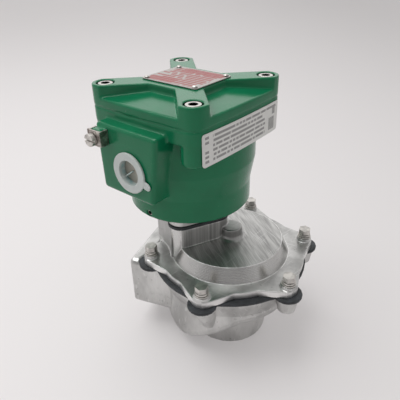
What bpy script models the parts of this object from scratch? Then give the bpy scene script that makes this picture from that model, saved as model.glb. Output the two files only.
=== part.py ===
"""Dust collector pulse valve: a right-angle diaphragm valve with a solenoid pilot.

Frame: metres, +Z up. The valve stands on its outlet spigot. The inlet faces -X.
Heights are counted from the outlet face. The housing's own frame turns about the pilot axis:
its +X is the label side and its -Y is the conduit side.
"""
import math

import bmesh
import bpy

MM = 0.001
FULL_TURN = 2.0 * math.pi

# Fits
SEAT_GAP = 0.3 * MM
THREAD_GAP = 0.3 * MM
RUNNING_GAP = 0.1 * MM
OVERSHOOT = 2.0 * MM
WELD = 0.01 * MM
FLAT_ANGLE = math.radians(0.5)

# Facets round a circle
STEPS_BIG = 36
STEPS_MID = 24
STEPS_SMALL = 16
STEPS_FINE = 8

# Valve body
BODY_TOP_Z = 63.1 * MM
SPIGOT_R = 30.0 * MM
OUTLET_BORE_R = 23.5 * MM
SEAT_TUBE_R = 27.5 * MM
BODY_RIM_R = 55.5 * MM
BODY_RIM_T = 3.0 * MM
BOWL_INSET = 5.5 * MM
BOWL_R = BODY_RIM_R - BOWL_INSET
BOWL_WALL = 6.0 * MM
BOWL_SHOULDER = 14.0 * MM
BOWL_ROUND = 11.0 * MM
BOWL_SHALLOW_Z = 33.1 * MM
BOWL_DEEP_Z = 6.6 * MM
BOWL_SLOPE = 0.62
BOWL_SLOPE_START_X = 22.0 * MM
BOWL_ROUND_STEPS = 4
PASSAGE_END_GAP = 1.0 * MM
INLET_FACE_X = -70.0 * MM
INLET_Z = 38.1 * MM
INLET_BORE_R = 22.4 * MM
INLET_PASSAGE_R = 20.5 * MM
INLET_THREAD_L = 20.0 * MM
BOSS_HALF_WIDTH = 34.0 * MM
BOSS_TOP_Z = 65.6 * MM
BOSS_SIDE_LOW_Z = 25.1 * MM
BOSS_TOP_CHAMFER = 2.5 * MM
BOSS_FACET = math.radians(30.0)
BOSS_ROUND = 1.5 * MM
PAD_SIZE = 9.0 * MM
PAD_X = -47.0 * MM
PAD_Z = 33.0 * MM
PAD_PROUD = 0.6 * MM

# Bolted joint
BOLT_OUTSET = 4.5 * MM
BOLT_CIRCLE_R = BODY_RIM_R + BOLT_OUTSET
BOLT_COUNT = 6
BOLT_FIRST = math.radians(30.0)
BODY_EAR_R = 8.5 * MM
BODY_EAR_FOOT_R = 6.5 * MM
BODY_EAR_H = 12.0 * MM
SHORT_EARS = (0, 5)
LONG_EARS = (1, 4)
LONG_EAR_H = 28.0 * MM
LONG_EAR_LEAN = 14.0 * MM
BOLT_SHANK_R = 2.5 * MM
BOLT_HEAD_AF = 8.0 * MM
BOLT_HEAD_H = 4.0 * MM
BOLT_LENGTH = 20.0 * MM
BOLT_HOLE_SPARE = 0.8 * MM
WASHER_R = 5.2 * MM
WASHER_T = 1.0 * MM
SPRING_WASHER_R = 4.6 * MM
SPRING_WASHER_T = 1.4 * MM
SPRING_WASHER_SLIT = 0.8 * MM
SPOT_FACE_R = 5.5 * MM
SPOT_FACE_H = 2.2 * MM

# Main diaphragm and what it carries
DIAPHRAGM_T = 2.2 * MM
DIAPHRAGM_EAR_R = 10.0 * MM
DIAPHRAGM_PROUD = 2.3 * MM
DIAPHRAGM_WEB_R = BODY_RIM_R + DIAPHRAGM_PROUD
DIAPHRAGM_WEB_START = math.radians(14.5)
EAR_SWEEP = math.radians(105.0)
NOTCH_GAP = 0.8 * MM
TOP_PLATE_R = 26.0 * MM
TOP_PLATE_T = 1.5 * MM
SEAT_PLATE_R = 20.0 * MM
SEAT_PLATE_T = 2.0 * MM
STUD_R = 3.0 * MM
STUD_HEAD_R = 5.5 * MM
STUD_HEAD_H = 3.0 * MM
STUD_SPARE = 1.5 * MM
NUT_AF = 10.0 * MM
NUT_H = 3.5 * MM
MAIN_SPRING_R_LOW = 16.0 * MM
MAIN_SPRING_R_HIGH = 9.0 * MM
MAIN_SPRING_WIRE_R = 0.8 * MM
MAIN_SPRING_TURNS = 3.5

# Bonnet
BONNET_FLANGE_T = 5.2 * MM
EAR_REACH = 5.6 * MM
EAR_FLAT_HALF = 2.4 * MM
EAR_CORNER_REACH = 4.0 * MM
EAR_CORNER_HALF = 5.4 * MM
HOLLOW_DEPTHS = (5.4 * MM, 5.4 * MM, 5.4 * MM, 5.2 * MM, 6.7 * MM, 3.1 * MM)
HOLLOW_START = math.radians(21.0)
DOME_BASE_R = 44.5 * MM
DOME_EDGE_R = 39.6 * MM
DOME_EDGE_H = 11.2 * MM
DOME_CROWN_H = 1.0 * MM
DOME_WALL = 3.9 * MM
CHAMBER_R = 38.0 * MM
CHAMBER_ROOF_R = 35.0 * MM
TURRET_X = 1.4 * MM
TURRET_R = 8.1 * MM
TURRET_H = 20.6 * MM
TURRET_FILLET = 2.4 * MM
TURRET_EDGE = 0.6 * MM
TURRET_FOOT = 1.5 * MM
NUT_POCKET_R = 6.4 * MM
NUT_POCKET_H = 3.0 * MM
STUD_POCKET_R = 3.6 * MM
STUD_POCKET_H = 3.5 * MM

# Pilot block on the bonnet, and its cap
PILOT_X = -30.8 * MM
PILOT_CORNER_REACH = 19.0 * MM
PILOT_CORNER_R = 9.5 * MM
PILOT_HOLLOW = 2.5 * MM
BLOCK_TOP_H = 27.0 * MM
BLOCK_FOOT_LIFT = 0.7 * MM
PILOT_CHAMBER_R = 12.5 * MM
PILOT_CHAMBER_DEPTH = 7.0 * MM
PILOT_SEAT_R = 6.0 * MM
PILOT_BORE_R = 3.8 * MM
PILOT_BORE_LOW_H = 9.5 * MM
EXHAUST_H = 13.5 * MM
PASSAGE_R = 2.4 * MM
PASSAGE_OFFSET = 9.3 * MM
PILOT_RUBBER_T = 2.2 * MM
PILOT_RUBBER_PROUD = 0.6 * MM
PILOT_DISC_R = 8.0 * MM
PILOT_DISC_T = 1.2 * MM
PILOT_SPRING_R_LOW = 5.5 * MM
PILOT_SPRING_R_HIGH = 3.2 * MM
PILOT_SPRING_WIRE_R = 0.35 * MM
PILOT_SPRING_TURNS = 3.0
CAP_PLATE_T = 5.2 * MM
CAP_HEIGHT = 12.5 * MM
CAP_HUB_R = 14.5 * MM
CAP_CHAMBER_H = 5.5 * MM
CAP_SOCKET_DEPTH = 4.5 * MM
NOZZLE_R = 2.4 * MM
NOZZLE_H = 1.5 * MM
NOZZLE_BORE_R = 0.9 * MM
CAP_SCREW_R = 2.0 * MM
CAP_SCREW_HEAD_R = 3.6 * MM
CAP_SCREW_HEAD_H = 3.4 * MM
CAP_SCREW_LENGTH = 16.0 * MM
CAP_SCREW_SOCKET_R = 1.7 * MM
CAP_SCREW_SOCKET_DEPTH = 2.0 * MM

# Core tube, plunger and coil
CORE_NECK_R = 7.8 * MM
CORE_HEX_AF = 22.0 * MM
CORE_HEX_H = 5.0 * MM
CORE_TUBE_R = 7.0 * MM
CORE_BORE_R = 5.6 * MM
CORE_TIP = 1.5 * MM
FIXED_CORE_L = 14.0 * MM
PLUNGER_LIFT_ROOM = 2.4 * MM
PLUNGER_DISC_R = 3.2 * MM
PLUNGER_DISC_T = 2.0 * MM
PLUNGER_WELL_R = 3.3 * MM
PLUNGER_WELL_DEPTH = 12.0 * MM
CORE_SPRING_R = 2.5 * MM
CORE_SPRING_WIRE_R = 0.35 * MM
CORE_SPRING_TURNS = 5.0
CORE_SEAL_MAJOR_R = 9.6 * MM
CORE_SEAL_MINOR_R = 1.0 * MM
YOKE_HALF_X = 29.0 * MM
YOKE_HALF_Y = 16.0 * MM
YOKE_T = 3.0 * MM
COIL_R = 24.5 * MM
COIL_HEADROOM = 35.9 * MM
COIL_ROUND = 2.0 * MM
CLIP_R = 11.0 * MM
CLIP_T = 1.6 * MM
TERMINAL_HALF_X = 16.0 * MM
TERMINAL_DEPTH = 11.0 * MM
TERMINAL_H = 10.0 * MM
TERMINAL_STEP = 4.0 * MM

# Solenoid housing, in its own frame
HOUSING_TURN = math.radians(-18.4)
HOUSING_FLOOR_T = 7.0 * MM
TUB_FOOT_R = 43.7 * MM
TUB_R = 46.8 * MM
TUB_WALL = 5.0 * MM
TUB_CONE_LOW_H = 17.0 * MM
TUB_CONE_HIGH_H = 34.5 * MM
TUB_FOOT_ROUND = 1.2 * MM
RIM_TOP_H = 71.9 * MM
RIM_T = 9.5 * MM
RIM_LOW_H = RIM_TOP_H - RIM_T
COIL_H = RIM_TOP_H - COIL_HEADROOM
COVER_BORE_R = 40.0 * MM
LUG_PITCH_HALF = 37.2 * MM
LUG_R = 8.8 * MM
SIDE_FLAT = LUG_PITCH_HALF + LUG_R
SIDE_BULGE = 1.0 * MM
LUG_STEP = 0.3 * MM
LOWER_LUG_R = LUG_R - LUG_STEP
LOWER_LUG_H = 14.0 * MM
LOWER_LUG_ROUND = 1.5 * MM
SKIRT_LUG_SWEEP = math.radians(206.0)
SKIRT_BACK_X = 0.58 * LUG_PITCH_HALF
SKIRT_BACK_HALF = 0.75 * LUG_PITCH_HALF
BOX_FACE_Y = -56.0 * MM
BOX_LEFT_LOW_X = -28.1 * MM
BOX_LEFT_TOP_X = -29.1 * MM
BOX_RIGHT_LOW_X = 17.8 * MM
BOX_RIGHT_TOP_X = 24.4 * MM
BOX_LOW_H = 20.5 * MM
BOX_LIP_H = 4.4 * MM
BOX_TOP_H = RIM_LOW_H + BOX_LIP_H
BOX_ROUND = 2.0 * MM
BOX_ROOM_WALL = 5.0 * MM
BOX_FRONT_WALL = 9.0 * MM
BOX_BACK_Y = -28.0 * MM
BOX_ROOM_BACK_Y = -24.0 * MM
ENTRY_H = 39.4 * MM
ENTRY_BORE_R = 10.0 * MM
EARTH_BOSS_LEFT_X = -26.9 * MM
EARTH_BOSS_RIGHT_X = -18.4 * MM
EARTH_BOSS_DROP = 2.8 * MM
EARTH_BOSS_H = 10.0 * MM
EARTH_BOSS_TOP_H = BOX_TOP_H - EARTH_BOSS_DROP
EARTH_BOSS_LOW_H = EARTH_BOSS_TOP_H - EARTH_BOSS_H
EARTH_BOSS_PROUD = 5.2 * MM
EARTH_SCREW_X = -24.0 * MM
EARTH_SCREW_LIFT = 4.2 * MM
EARTH_SCREW_H = EARTH_BOSS_LOW_H + EARTH_SCREW_LIFT
EARTH_SCREW_R = 1.7 * MM
EARTH_HEAD_R = 4.2 * MM
EARTH_HEAD_H = 3.2 * MM
EARTH_SLOT_W = 1.1 * MM
EARTH_SLOT_DEPTH = 1.4 * MM
EARTH_SCREW_L = 7.0 * MM
SADDLE_T = 1.3 * MM
SET_SCREW_R = 2.0 * MM
SET_SCREW_L = 8.0 * MM
SET_SCREW_SUNK = 1.2 * MM
SET_SCREW_H = 3.5 * MM
SET_SOCKET_R = 1.15 * MM
SET_SOCKET_DEPTH = 2.0 * MM

# Cover
COVER_T = 13.8 * MM
PLATEAU_HALF = 23.4 * MM
ARM_HALF_WIDTH = 8.9 * MM
POCKET_DEPTH = 5.1 * MM
POCKET_SLOPE = math.radians(6.5)
COVER_ROOM_R = 36.0 * MM
COVER_ROOM_H = 2.4 * MM
SPIGOT_GUIDE_L = 8.0 * MM
COVER_SEAL_MINOR_R = 0.75 * MM
COVER_SEAL_DROP = 3.5 * MM
COVER_SCREW_R = 3.0 * MM
COVER_SCREW_HEAD_R = 4.9 * MM
COVER_SCREW_HEAD_H = 5.8 * MM
COVER_SCREW_SINK_R = 6.0 * MM
COVER_SCREW_SINK = 6.6 * MM
COVER_SCREW_L = 24.0 * MM
COVER_SOCKET_R = 2.9 * MM
COVER_SOCKET_DEPTH = 3.2 * MM

# Plates, label and plug
NAMEPLATE_HALF_X = 23.2 * MM
NAMEPLATE_HALF_Y = 18.5 * MM
NAMEPLATE_T = 0.6 * MM
NAMEPLATE_CORNER = 1.2 * MM
RIVET_INSET = 2.8 * MM
RIVET_HEAD_R = 1.9 * MM
RIVET_HEAD_H = 1.0 * MM
RIVET_SHANK_R = 0.8 * MM
RIVET_L = 3.0 * MM
LABEL_DROP = 1.9 * MM
LABEL_H = 20.6 * MM
LABEL_HIGH_H = RIM_TOP_H - LABEL_DROP
LABEL_LOW_H = LABEL_HIGH_H - LABEL_H
LABEL_T = 0.35 * MM
LABEL_WRAP_FRONT = math.radians(22.0)
LABEL_WRAP_RIGHT = math.radians(12.0)
PLUG_FLANGE_R = 13.6 * MM
PLUG_FLANGE_T = 1.6 * MM
PLUG_WALL = 1.3 * MM
PLUG_DEPTH = 12.0 * MM
PLUG_TAB_REACH = 18.8 * MM
PLUG_TAB_HALF_WIDTH = 2.6 * MM
PLUG_TAB_ANGLE = math.radians(-18.0)
PLUG_TAB_T = 1.0 * MM
PLUG_TAB_STEP = 0.3 * MM
PLUG_RIB_T = 1.0 * MM
PLUG_RIB_L = 4.0 * MM

# Stacked heights
BODY_ROUGH_Z = BODY_TOP_Z + OVERSHOOT
FLANGE_LOW_Z = BODY_TOP_Z + 2.0 * SEAT_GAP + DIAPHRAGM_T
FLANGE_TOP_Z = FLANGE_LOW_Z + BONNET_FLANGE_T
DIAPHRAGM_LOW_Z = BODY_TOP_Z + SEAT_GAP
DIAPHRAGM_TOP_Z = DIAPHRAGM_LOW_Z + DIAPHRAGM_T
TOP_PLATE_Z = DIAPHRAGM_TOP_Z + SEAT_GAP
CHAMBER_ROOF_Z = FLANGE_TOP_Z + DOME_EDGE_H - DOME_WALL
CROWN_Z = FLANGE_TOP_Z + DOME_EDGE_H + DOME_CROWN_H
BLOCK_TOP_Z = FLANGE_TOP_Z + BLOCK_TOP_H
PILOT_RUBBER_Z = BLOCK_TOP_Z + SEAT_GAP
CAP_LOW_Z = PILOT_RUBBER_Z + PILOT_RUBBER_T + SEAT_GAP
CAP_TOP_Z = CAP_LOW_Z + CAP_HEIGHT
CAP_PLATE_TOP_Z = CAP_LOW_Z + CAP_PLATE_T
CAP_ROOF_Z = CAP_LOW_Z + CAP_CHAMBER_H
CAP_SOCKET_Z = CAP_TOP_Z - CAP_SOCKET_DEPTH
NOZZLE_TOP_Z = CAP_SOCKET_Z + NOZZLE_H
HOUSING_Z = CAP_TOP_Z + SEAT_GAP
HOUSING_FLOOR_Z = HOUSING_Z + HOUSING_FLOOR_T
CORE_HEX_Z = HOUSING_FLOOR_Z + SEAT_GAP
CORE_HEX_TOP_Z = CORE_HEX_Z + CORE_HEX_H
YOKE_LOW_Z = CORE_HEX_TOP_Z + SEAT_GAP
COIL_Z = YOKE_LOW_Z + YOKE_T + SEAT_GAP
YOKE_TOP_Z = COIL_Z + COIL_H + SEAT_GAP + YOKE_T
CLIP_Z = YOKE_TOP_Z + SEAT_GAP
CORE_TUBE_TOP_Z = CLIP_Z + CLIP_T + CORE_TIP
CORE_ROOF_Z = CORE_TUBE_TOP_Z - FIXED_CORE_L
PLUNGER_LOW_Z = NOZZLE_TOP_Z + 2.0 * SEAT_GAP
PLUNGER_TOP_Z = CORE_ROOF_Z - PLUNGER_LIFT_ROOM
WASHER_Z = FLANGE_TOP_Z + SPOT_FACE_H + SEAT_GAP
SPRING_WASHER_Z = WASHER_Z + WASHER_T + SEAT_GAP
BOLT_HEAD_Z = SPRING_WASHER_Z + SPRING_WASHER_T + SEAT_GAP

# Heights in the housing's frame
COVER_LOW_H = RIM_TOP_H + SEAT_GAP
COVER_TOP_H = COVER_LOW_H + COVER_T
COVER_SCREW_SEAT_H = COVER_TOP_H - COVER_SCREW_SINK


def clear_scene():
    for obj in list(bpy.data.objects):
        bpy.data.objects.remove(obj, do_unlink=True)


def collection(name):
    found = bpy.data.collections.get(name)
    if found is None:
        found = bpy.data.collections.new(name)
        bpy.context.scene.collection.children.link(found)
    return found


def add_object(name, data, group="pulse_valve"):
    obj = bpy.data.objects.new(name, data)
    collection(group).objects.link(obj)
    return obj


def add_empty(name, location, parent=None, turn=0.0):
    obj = add_object(name, None)
    obj.location = location
    obj.rotation_euler = (0.0, 0.0, turn)
    obj.parent = parent
    return obj


def mesh_object(name, bm):
    mesh = bpy.data.meshes.new(name)
    bm.to_mesh(mesh)
    bm.free()
    return add_object(name, mesh)


def finish(obj, colour, roughness, metallic):
    """Clear the flat faces of leftover edges and give the piece its own material."""
    if any(modifier.type == "BOOLEAN" for modifier in obj.modifiers):
        tidy = obj.modifiers.new("flat faces", "DECIMATE")
        tidy.decimate_type = "DISSOLVE"
        tidy.angle_limit = FLAT_ANGLE
    material = bpy.data.materials.new(obj.name + "_finish")
    material.use_nodes = True
    shader = material.node_tree.nodes["Principled BSDF"]
    shader.inputs["Base Color"].default_value = (*colour, 1.0)
    shader.inputs["Roughness"].default_value = roughness
    shader.inputs["Metallic"].default_value = metallic
    obj.data.materials.clear()
    obj.data.materials.append(material)


def cast_aluminium(obj):
    finish(obj, (0.52, 0.53, 0.54), 0.42, 1.0)


def stainless(obj):
    finish(obj, (0.62, 0.61, 0.58), 0.28, 1.0)


def zinc_steel(obj):
    finish(obj, (0.50, 0.50, 0.49), 0.35, 1.0)


def black_rubber(obj):
    finish(obj, (0.02, 0.025, 0.03), 0.60, 0.0)


def green_paint(obj):
    finish(obj, (0.015, 0.20, 0.09), 0.30, 0.0)


def cylinder(name, radius, low, high, steps=STEPS_MID, top_radius=None):
    """A capped cylinder or cone along Z."""
    bm = bmesh.new()
    bmesh.ops.create_cone(bm, cap_ends=True, segments=steps, radius1=radius,
                          radius2=radius if top_radius is None else top_radius,
                          depth=high - low)
    bmesh.ops.translate(bm, verts=bm.verts, vec=(0.0, 0.0, 0.5 * (low + high)))
    return mesh_object(name, bm)


def pillars(name, places, radius, low, high, steps, top_radius=None):
    """Several alike cylinders in one mesh, one at each (x, y) place."""
    bm = bmesh.new()
    for x, y in places:
        made = bmesh.ops.create_cone(bm, cap_ends=True, segments=steps, radius1=radius,
                                     radius2=radius if top_radius is None else top_radius,
                                     depth=high - low)
        bmesh.ops.translate(bm, verts=made["verts"], vec=(x, y, 0.5 * (low + high)))
    return mesh_object(name, bm)


def box(name, low, high):
    bm = bmesh.new()
    bmesh.ops.create_cube(bm, size=1.0)
    size = [b - a for a, b in zip(low, high)]
    middle = [0.5 * (a + b) for a, b in zip(low, high)]
    bmesh.ops.scale(bm, verts=bm.verts, vec=size)
    bmesh.ops.translate(bm, verts=bm.verts, vec=middle)
    return mesh_object(name, bm)


def turned(name, profile, steps=STEPS_BIG, closed=False):
    """Turn a profile of (radius, z) about Z. It runs down the outer side first."""
    bm = bmesh.new()
    verts = [bm.verts.new((radius, 0.0, z)) for radius, z in profile]
    for first, second in zip(verts, verts[1:]):
        bm.edges.new((first, second))
    if closed:
        bm.edges.new((verts[-1], verts[0]))
    obj = mesh_object(name, bm)
    screw = obj.modifiers.new("turn", "SCREW")
    screw.axis = "Z"
    screw.angle = FULL_TURN
    screw.steps = steps
    screw.render_steps = steps
    screw.use_merge_vertices = True
    screw.merge_threshold = WELD
    screw.use_smooth_shade = True
    return obj


def solid_from_curve(curve_object):
    """Make a curve object a welded mesh object of the same name and place."""
    name = curve_object.name
    bpy.context.view_layer.update()
    evaluated = curve_object.evaluated_get(bpy.context.evaluated_depsgraph_get())
    mesh = bpy.data.meshes.new_from_object(evaluated)
    bm = bmesh.new()
    bm.from_mesh(mesh)
    bmesh.ops.remove_doubles(bm, verts=bm.verts, dist=WELD)
    bmesh.ops.dissolve_limit(bm, angle_limit=FLAT_ANGLE, verts=bm.verts, edges=bm.edges)
    bm.to_mesh(mesh)
    bm.free()
    place = curve_object.matrix_world.copy()
    bpy.data.objects.remove(curve_object, do_unlink=True)
    mesh.name = name
    obj = add_object(name, mesh)
    obj.matrix_world = place
    return obj


def plate(name, outline, low, high, holes=()):
    """A flat outline in XY, thick from low to high, with optional outlines of holes."""
    curve = bpy.data.curves.new(name, "CURVE")
    curve.dimensions = "2D"
    curve.fill_mode = "BOTH"
    curve.extrude = 0.5 * (high - low)
    for points in (outline, *holes):
        spline = curve.splines.new("POLY")
        spline.points.add(len(points) - 1)
        for point, (x, y) in zip(spline.points, points):
            point.co = (x, y, 0.0, 1.0)
        spline.use_cyclic_u = True
    obj = add_object(name, curve)
    obj.location = (0.0, 0.0, 0.5 * (low + high))
    return solid_from_curve(obj)


def wire(name, points, radius):
    """A round wire along points, with filled ends."""
    curve = bpy.data.curves.new(name, "CURVE")
    curve.dimensions = "3D"
    curve.bevel_depth = radius
    curve.bevel_resolution = 2
    curve.use_fill_caps = True
    spline = curve.splines.new("POLY")
    spline.points.add(len(points) - 1)
    for point, place in zip(spline.points, points):
        point.co = (*place, 1.0)
    return solid_from_curve(add_object(name, curve))


def coil_spring(name, low, high, radius_low, radius_high, wire_r, turns, steps=12):
    """A spring along Z whose wire stays between low and high."""
    count = int(turns * steps)
    points = []
    for index in range(count + 1):
        share = index / count
        angle = FULL_TURN * turns * share
        radius = radius_low + (radius_high - radius_low) * share
        z = low + wire_r + (high - low - 2.0 * wire_r) * share
        points.append((radius * math.cos(angle), radius * math.sin(angle), z))
    return wire(name, points, wire_r)


def shape(target, tool, operation):
    """Cut or join a target with a tool that lies in the target's own frame."""
    for group in list(tool.users_collection):
        group.objects.unlink(tool)
    collection("pulse_valve_cutters").objects.link(tool)
    tool.parent = target.parent
    tool.hide_render = True
    tool.display_type = "WIRE"
    modifier = target.modifiers.new(tool.name, "BOOLEAN")
    modifier.operation = operation
    modifier.solver = "EXACT"
    modifier.object = tool
    weld = target.modifiers.new(tool.name + "_weld", "WELD")
    weld.merge_threshold = WELD


def cut(target, *tools):
    for tool in tools:
        shape(target, tool, "DIFFERENCE")


def join(target, *tools):
    for tool in tools:
        shape(target, tool, "UNION")


def round_edges(obj, width, segments=1, angle=math.radians(35.0)):
    bevel = obj.modifiers.new("rounded edges", "BEVEL")
    bevel.width = width
    bevel.segments = segments
    bevel.limit_method = "ANGLE"
    bevel.angle_limit = angle


def arc(centre, radius, start, end, steps):
    """Points on an arc from start to end, both included."""
    points = []
    for index in range(steps + 1):
        angle = start + (end - start) * index / steps
        points.append((centre[0] + radius * math.cos(angle), centre[1] + radius * math.sin(angle)))
    return points


def circle(radius, steps, centre=(0.0, 0.0)):
    return arc(centre, radius, 0.0, FULL_TURN, steps)[:-1]


def turned_about(points, angle):
    cos, sin = math.cos(angle), math.sin(angle)
    return [(x * cos - y * sin, x * sin + y * cos) for x, y in points]


def bolt_angles():
    return [BOLT_FIRST + FULL_TURN * index / BOLT_COUNT for index in range(BOLT_COUNT)]


def polar(radius, angle):
    return (radius * math.cos(angle), radius * math.sin(angle))


def bolt_places():
    return [polar(BOLT_CIRCLE_R, angle) for angle in bolt_angles()]


def along_x(obj):
    """Turn a piece that was made along Z so that it lies along X, its own Y upwards."""
    obj.location = (obj.location.z, 0.0, 0.0)
    obj.rotation_euler = (0.5 * math.pi, 0.0, 0.5 * math.pi)
    return obj


def facing_front(obj, x, z):
    """Turn a piece that was made along Z so that it faces -Y at the given x and z."""
    obj.location = (x, -obj.location.z, z)
    obj.rotation_euler = (0.5 * math.pi, 0.0, 0.0)
    return obj


def hex_prism(name, across_flats, low, high):
    return cylinder(name, across_flats / math.sqrt(3.0), low, high, steps=6)


def ring(name, inner_r, outer_r, low, high, steps=STEPS_BIG):
    profile = [(outer_r, high), (outer_r, low), (inner_r, low), (inner_r, high)]
    return turned(name, profile, steps, closed=True)


def round_wire_ring(name, major_r, minor_r, z, steps=STEPS_BIG, sides=8):
    profile = [(x, z - y) for x, y in arc((major_r, 0.0), minor_r, 0.0, FULL_TURN, sides)][:-1]
    return turned(name, profile, steps, closed=True)


def settled(obj):
    """Turn an object's modifiers into its mesh, so that copies can share it."""
    bpy.context.view_layer.update()
    evaluated = obj.evaluated_get(bpy.context.evaluated_depsgraph_get())
    mesh = bpy.data.meshes.new_from_object(evaluated)
    obj.modifiers.clear()
    obj.data = mesh
    return obj


def copies(obj, places, parent):
    """Number a settled piece as _1 and put one copy of it at each place."""
    settled(obj)
    base_name = obj.name
    made = []
    for index, place in enumerate(places):
        piece = obj if index == 0 else add_object(base_name, obj.data)
        piece.name = f"{base_name}_{index + 1}"
        piece.location = place
        piece.parent = parent
        made.append(piece)
    return made


# Outlines

def bonnet_outline():
    """The bonnet's rim: an ear with sloping flanks at each bolt, then a shallow hollow."""
    pitch = FULL_TURN / BOLT_COUNT
    half_ear = [(BOLT_CIRCLE_R + EAR_REACH, EAR_FLAT_HALF),
                (BOLT_CIRCLE_R + EAR_CORNER_REACH, EAR_CORNER_HALF)]
    ear = [(x, -y) for x, y in reversed(half_ear)] + half_ear
    points = []
    for angle, depth in zip(bolt_angles(), HOLLOW_DEPTHS):
        hollow = arc((0.0, 0.0), BOLT_CIRCLE_R - depth, HOLLOW_START, pitch - HOLLOW_START, 4)
        points += turned_about(ear + hollow, angle)
    return points


def diaphragm_outline(grow=0.0):
    """The rubber's rim: a round ear at each bolt and a plain edge between two ears."""
    pitch = FULL_TURN / BOLT_COUNT
    ear = arc((BOLT_CIRCLE_R, 0.0), DIAPHRAGM_EAR_R + grow, -EAR_SWEEP, EAR_SWEEP, 10)
    web = arc((0.0, 0.0), DIAPHRAGM_WEB_R + grow, DIAPHRAGM_WEB_START,
              pitch - DIAPHRAGM_WEB_START, 4)
    points = []
    for angle in bolt_angles():
        points += turned_about(ear + web, angle)
    return points


def pilot_corners():
    return [polar(PILOT_CORNER_REACH, 0.25 * FULL_TURN * index) for index in range(4)]


def pilot_outline(grow=0.0):
    """Four round corners; the two sides nearest the inlet are hollow."""
    eighth = 0.125 * FULL_TURN
    points = []
    for index, centre in enumerate(pilot_corners()):
        angle = 2.0 * eighth * index
        points += arc(centre, PILOT_CORNER_R + grow, angle - eighth, angle + eighth, 8)
        side = angle + eighth
        if math.cos(side) > 0.0:
            continue
        distance = PILOT_CORNER_REACH * math.cos(eighth) + PILOT_CORNER_R + grow
        half = PILOT_CORNER_REACH * math.sin(eighth)
        for share in (-0.5, 0.0, 0.5):
            depth = PILOT_HOLLOW * (1.0 - share * share)
            points += turned_about([(distance - depth, share * half)], side)
    return points


def lug_places():
    half = LUG_PITCH_HALF
    return [(half, -half), (half, half), (-half, half), (-half, -half)]


def bulging_side(flat_x):
    """The side that faces +X, between two lugs."""
    points = []
    for share in (-0.7, -0.35, 0.0, 0.35, 0.7):
        bulge = SIDE_BULGE * (1.0 - share * share)
        points.append((flat_x + bulge, share * LUG_PITCH_HALF))
    return points


def lugged_outline():
    """A square with slightly bulging sides and a round lug at each corner."""
    quarter = 0.25 * FULL_TURN
    lug = arc((LUG_PITCH_HALF, LUG_PITCH_HALF), LUG_R, 0.0, quarter, 8)
    points = []
    for index in range(4):
        points += turned_about(bulging_side(SIDE_FLAT) + lug, quarter * index)
    return points


def skirt_outline():
    """The pad behind the label, with the front lug and the right lug at its ends."""
    sweep = SKIRT_LUG_SWEEP
    half = LUG_PITCH_HALF
    front = arc((half, -half), LOWER_LUG_R, -sweep, 0.0, 14)
    right = arc((half, half), LOWER_LUG_R, 0.0, sweep, 14)
    back = [(SKIRT_BACK_X, SKIRT_BACK_HALF), (SKIRT_BACK_X, -SKIRT_BACK_HALF)]
    return front + bulging_side(SIDE_FLAT - LUG_STEP) + right + back


def boss_outline():
    """The inlet boss as (y, z): a flat top, upright flats and a keel below."""
    half, top, low = BOSS_HALF_WIDTH, BOSS_TOP_Z, BOSS_SIDE_LOW_Z
    keel = low - half * math.tan(BOSS_FACET)
    right = [(half, low), (half, top - BOSS_TOP_CHAMFER), (half - BOSS_TOP_CHAMFER, top)]
    left = [(-y, z) for y, z in reversed(right)]
    return [(0.0, keel)] + right + left


# Valve body

def bowl_floor_z(x):
    """The underside slopes down towards the inlet."""
    fall = BOWL_SLOPE * max(0.0, BOWL_SLOPE_START_X - x)
    return max(BOWL_DEEP_Z, BOWL_SHALLOW_Z - fall)


def bowl_corner(angle, inset):
    """The rounded corner between wall and floor at one angle, as (radius, z)."""
    corner_r = BOWL_ROUND - inset
    points = []
    for index in range(BOWL_ROUND_STEPS + 1):
        turn = 0.25 * FULL_TURN * index / BOWL_ROUND_STEPS
        radius = BOWL_R - inset - corner_r * (1.0 - math.cos(turn))
        floor_z = bowl_floor_z(radius * math.cos(angle)) + inset
        points.append((radius, floor_z + corner_r * (1.0 - math.sin(turn))))
    return points


def bowl_outside(angle):
    shoulder_z = BODY_TOP_Z - BODY_RIM_T
    section = [(BODY_RIM_R, BODY_ROUGH_Z), (BODY_RIM_R, shoulder_z)]
    section.append((BOWL_R, shoulder_z - BOWL_SHOULDER))
    section += bowl_corner(angle, 0.0)
    section.append((SPIGOT_R, bowl_floor_z(SPIGOT_R * math.cos(angle))))
    section.append((SPIGOT_R, 0.0))
    return section


def bowl_inside(angle):
    top_z = BODY_ROUGH_Z + OVERSHOOT
    section = [(BOWL_R - BOWL_WALL, top_z)]
    section += bowl_corner(angle, BOWL_WALL)
    tube_foot_z = bowl_floor_z(SEAT_TUBE_R * math.cos(angle)) + BOWL_WALL
    section.append((SEAT_TUBE_R, tube_foot_z))
    section.append((SEAT_TUBE_R, top_z))
    return section


def loft_round(name, section_at, closed):
    """Skin the sections of (radius, z) that section_at gives for each angle round Z."""
    bm = bmesh.new()
    columns = []
    for index in range(STEPS_BIG):
        angle = FULL_TURN * index / STEPS_BIG
        columns.append([bm.verts.new((*polar(r, angle), z)) for r, z in section_at(angle)])
    for first, second in zip(columns, columns[1:] + columns[:1]):
        for low, high in zip(range(len(first) - 1), range(1, len(first))):
            bm.faces.new((first[low], first[high], second[high], second[low]))
        if closed:
            bm.faces.new((first[-1], first[0], second[0], second[-1]))
    if not closed:
        bm.faces.new([column[0] for column in columns])
        bm.faces.new([column[-1] for column in columns])
    bmesh.ops.recalc_face_normals(bm, faces=bm.faces)
    return mesh_object(name, bm)


def lean_inwards(obj, below_z, distance):
    """Move an object's lower points towards the Z axis."""
    for vertex in obj.data.vertices:
        if vertex.co.z < below_z:
            share = 1.0 - distance / math.hypot(vertex.co.x, vertex.co.y)
            vertex.co.x *= share
            vertex.co.y *= share


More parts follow.
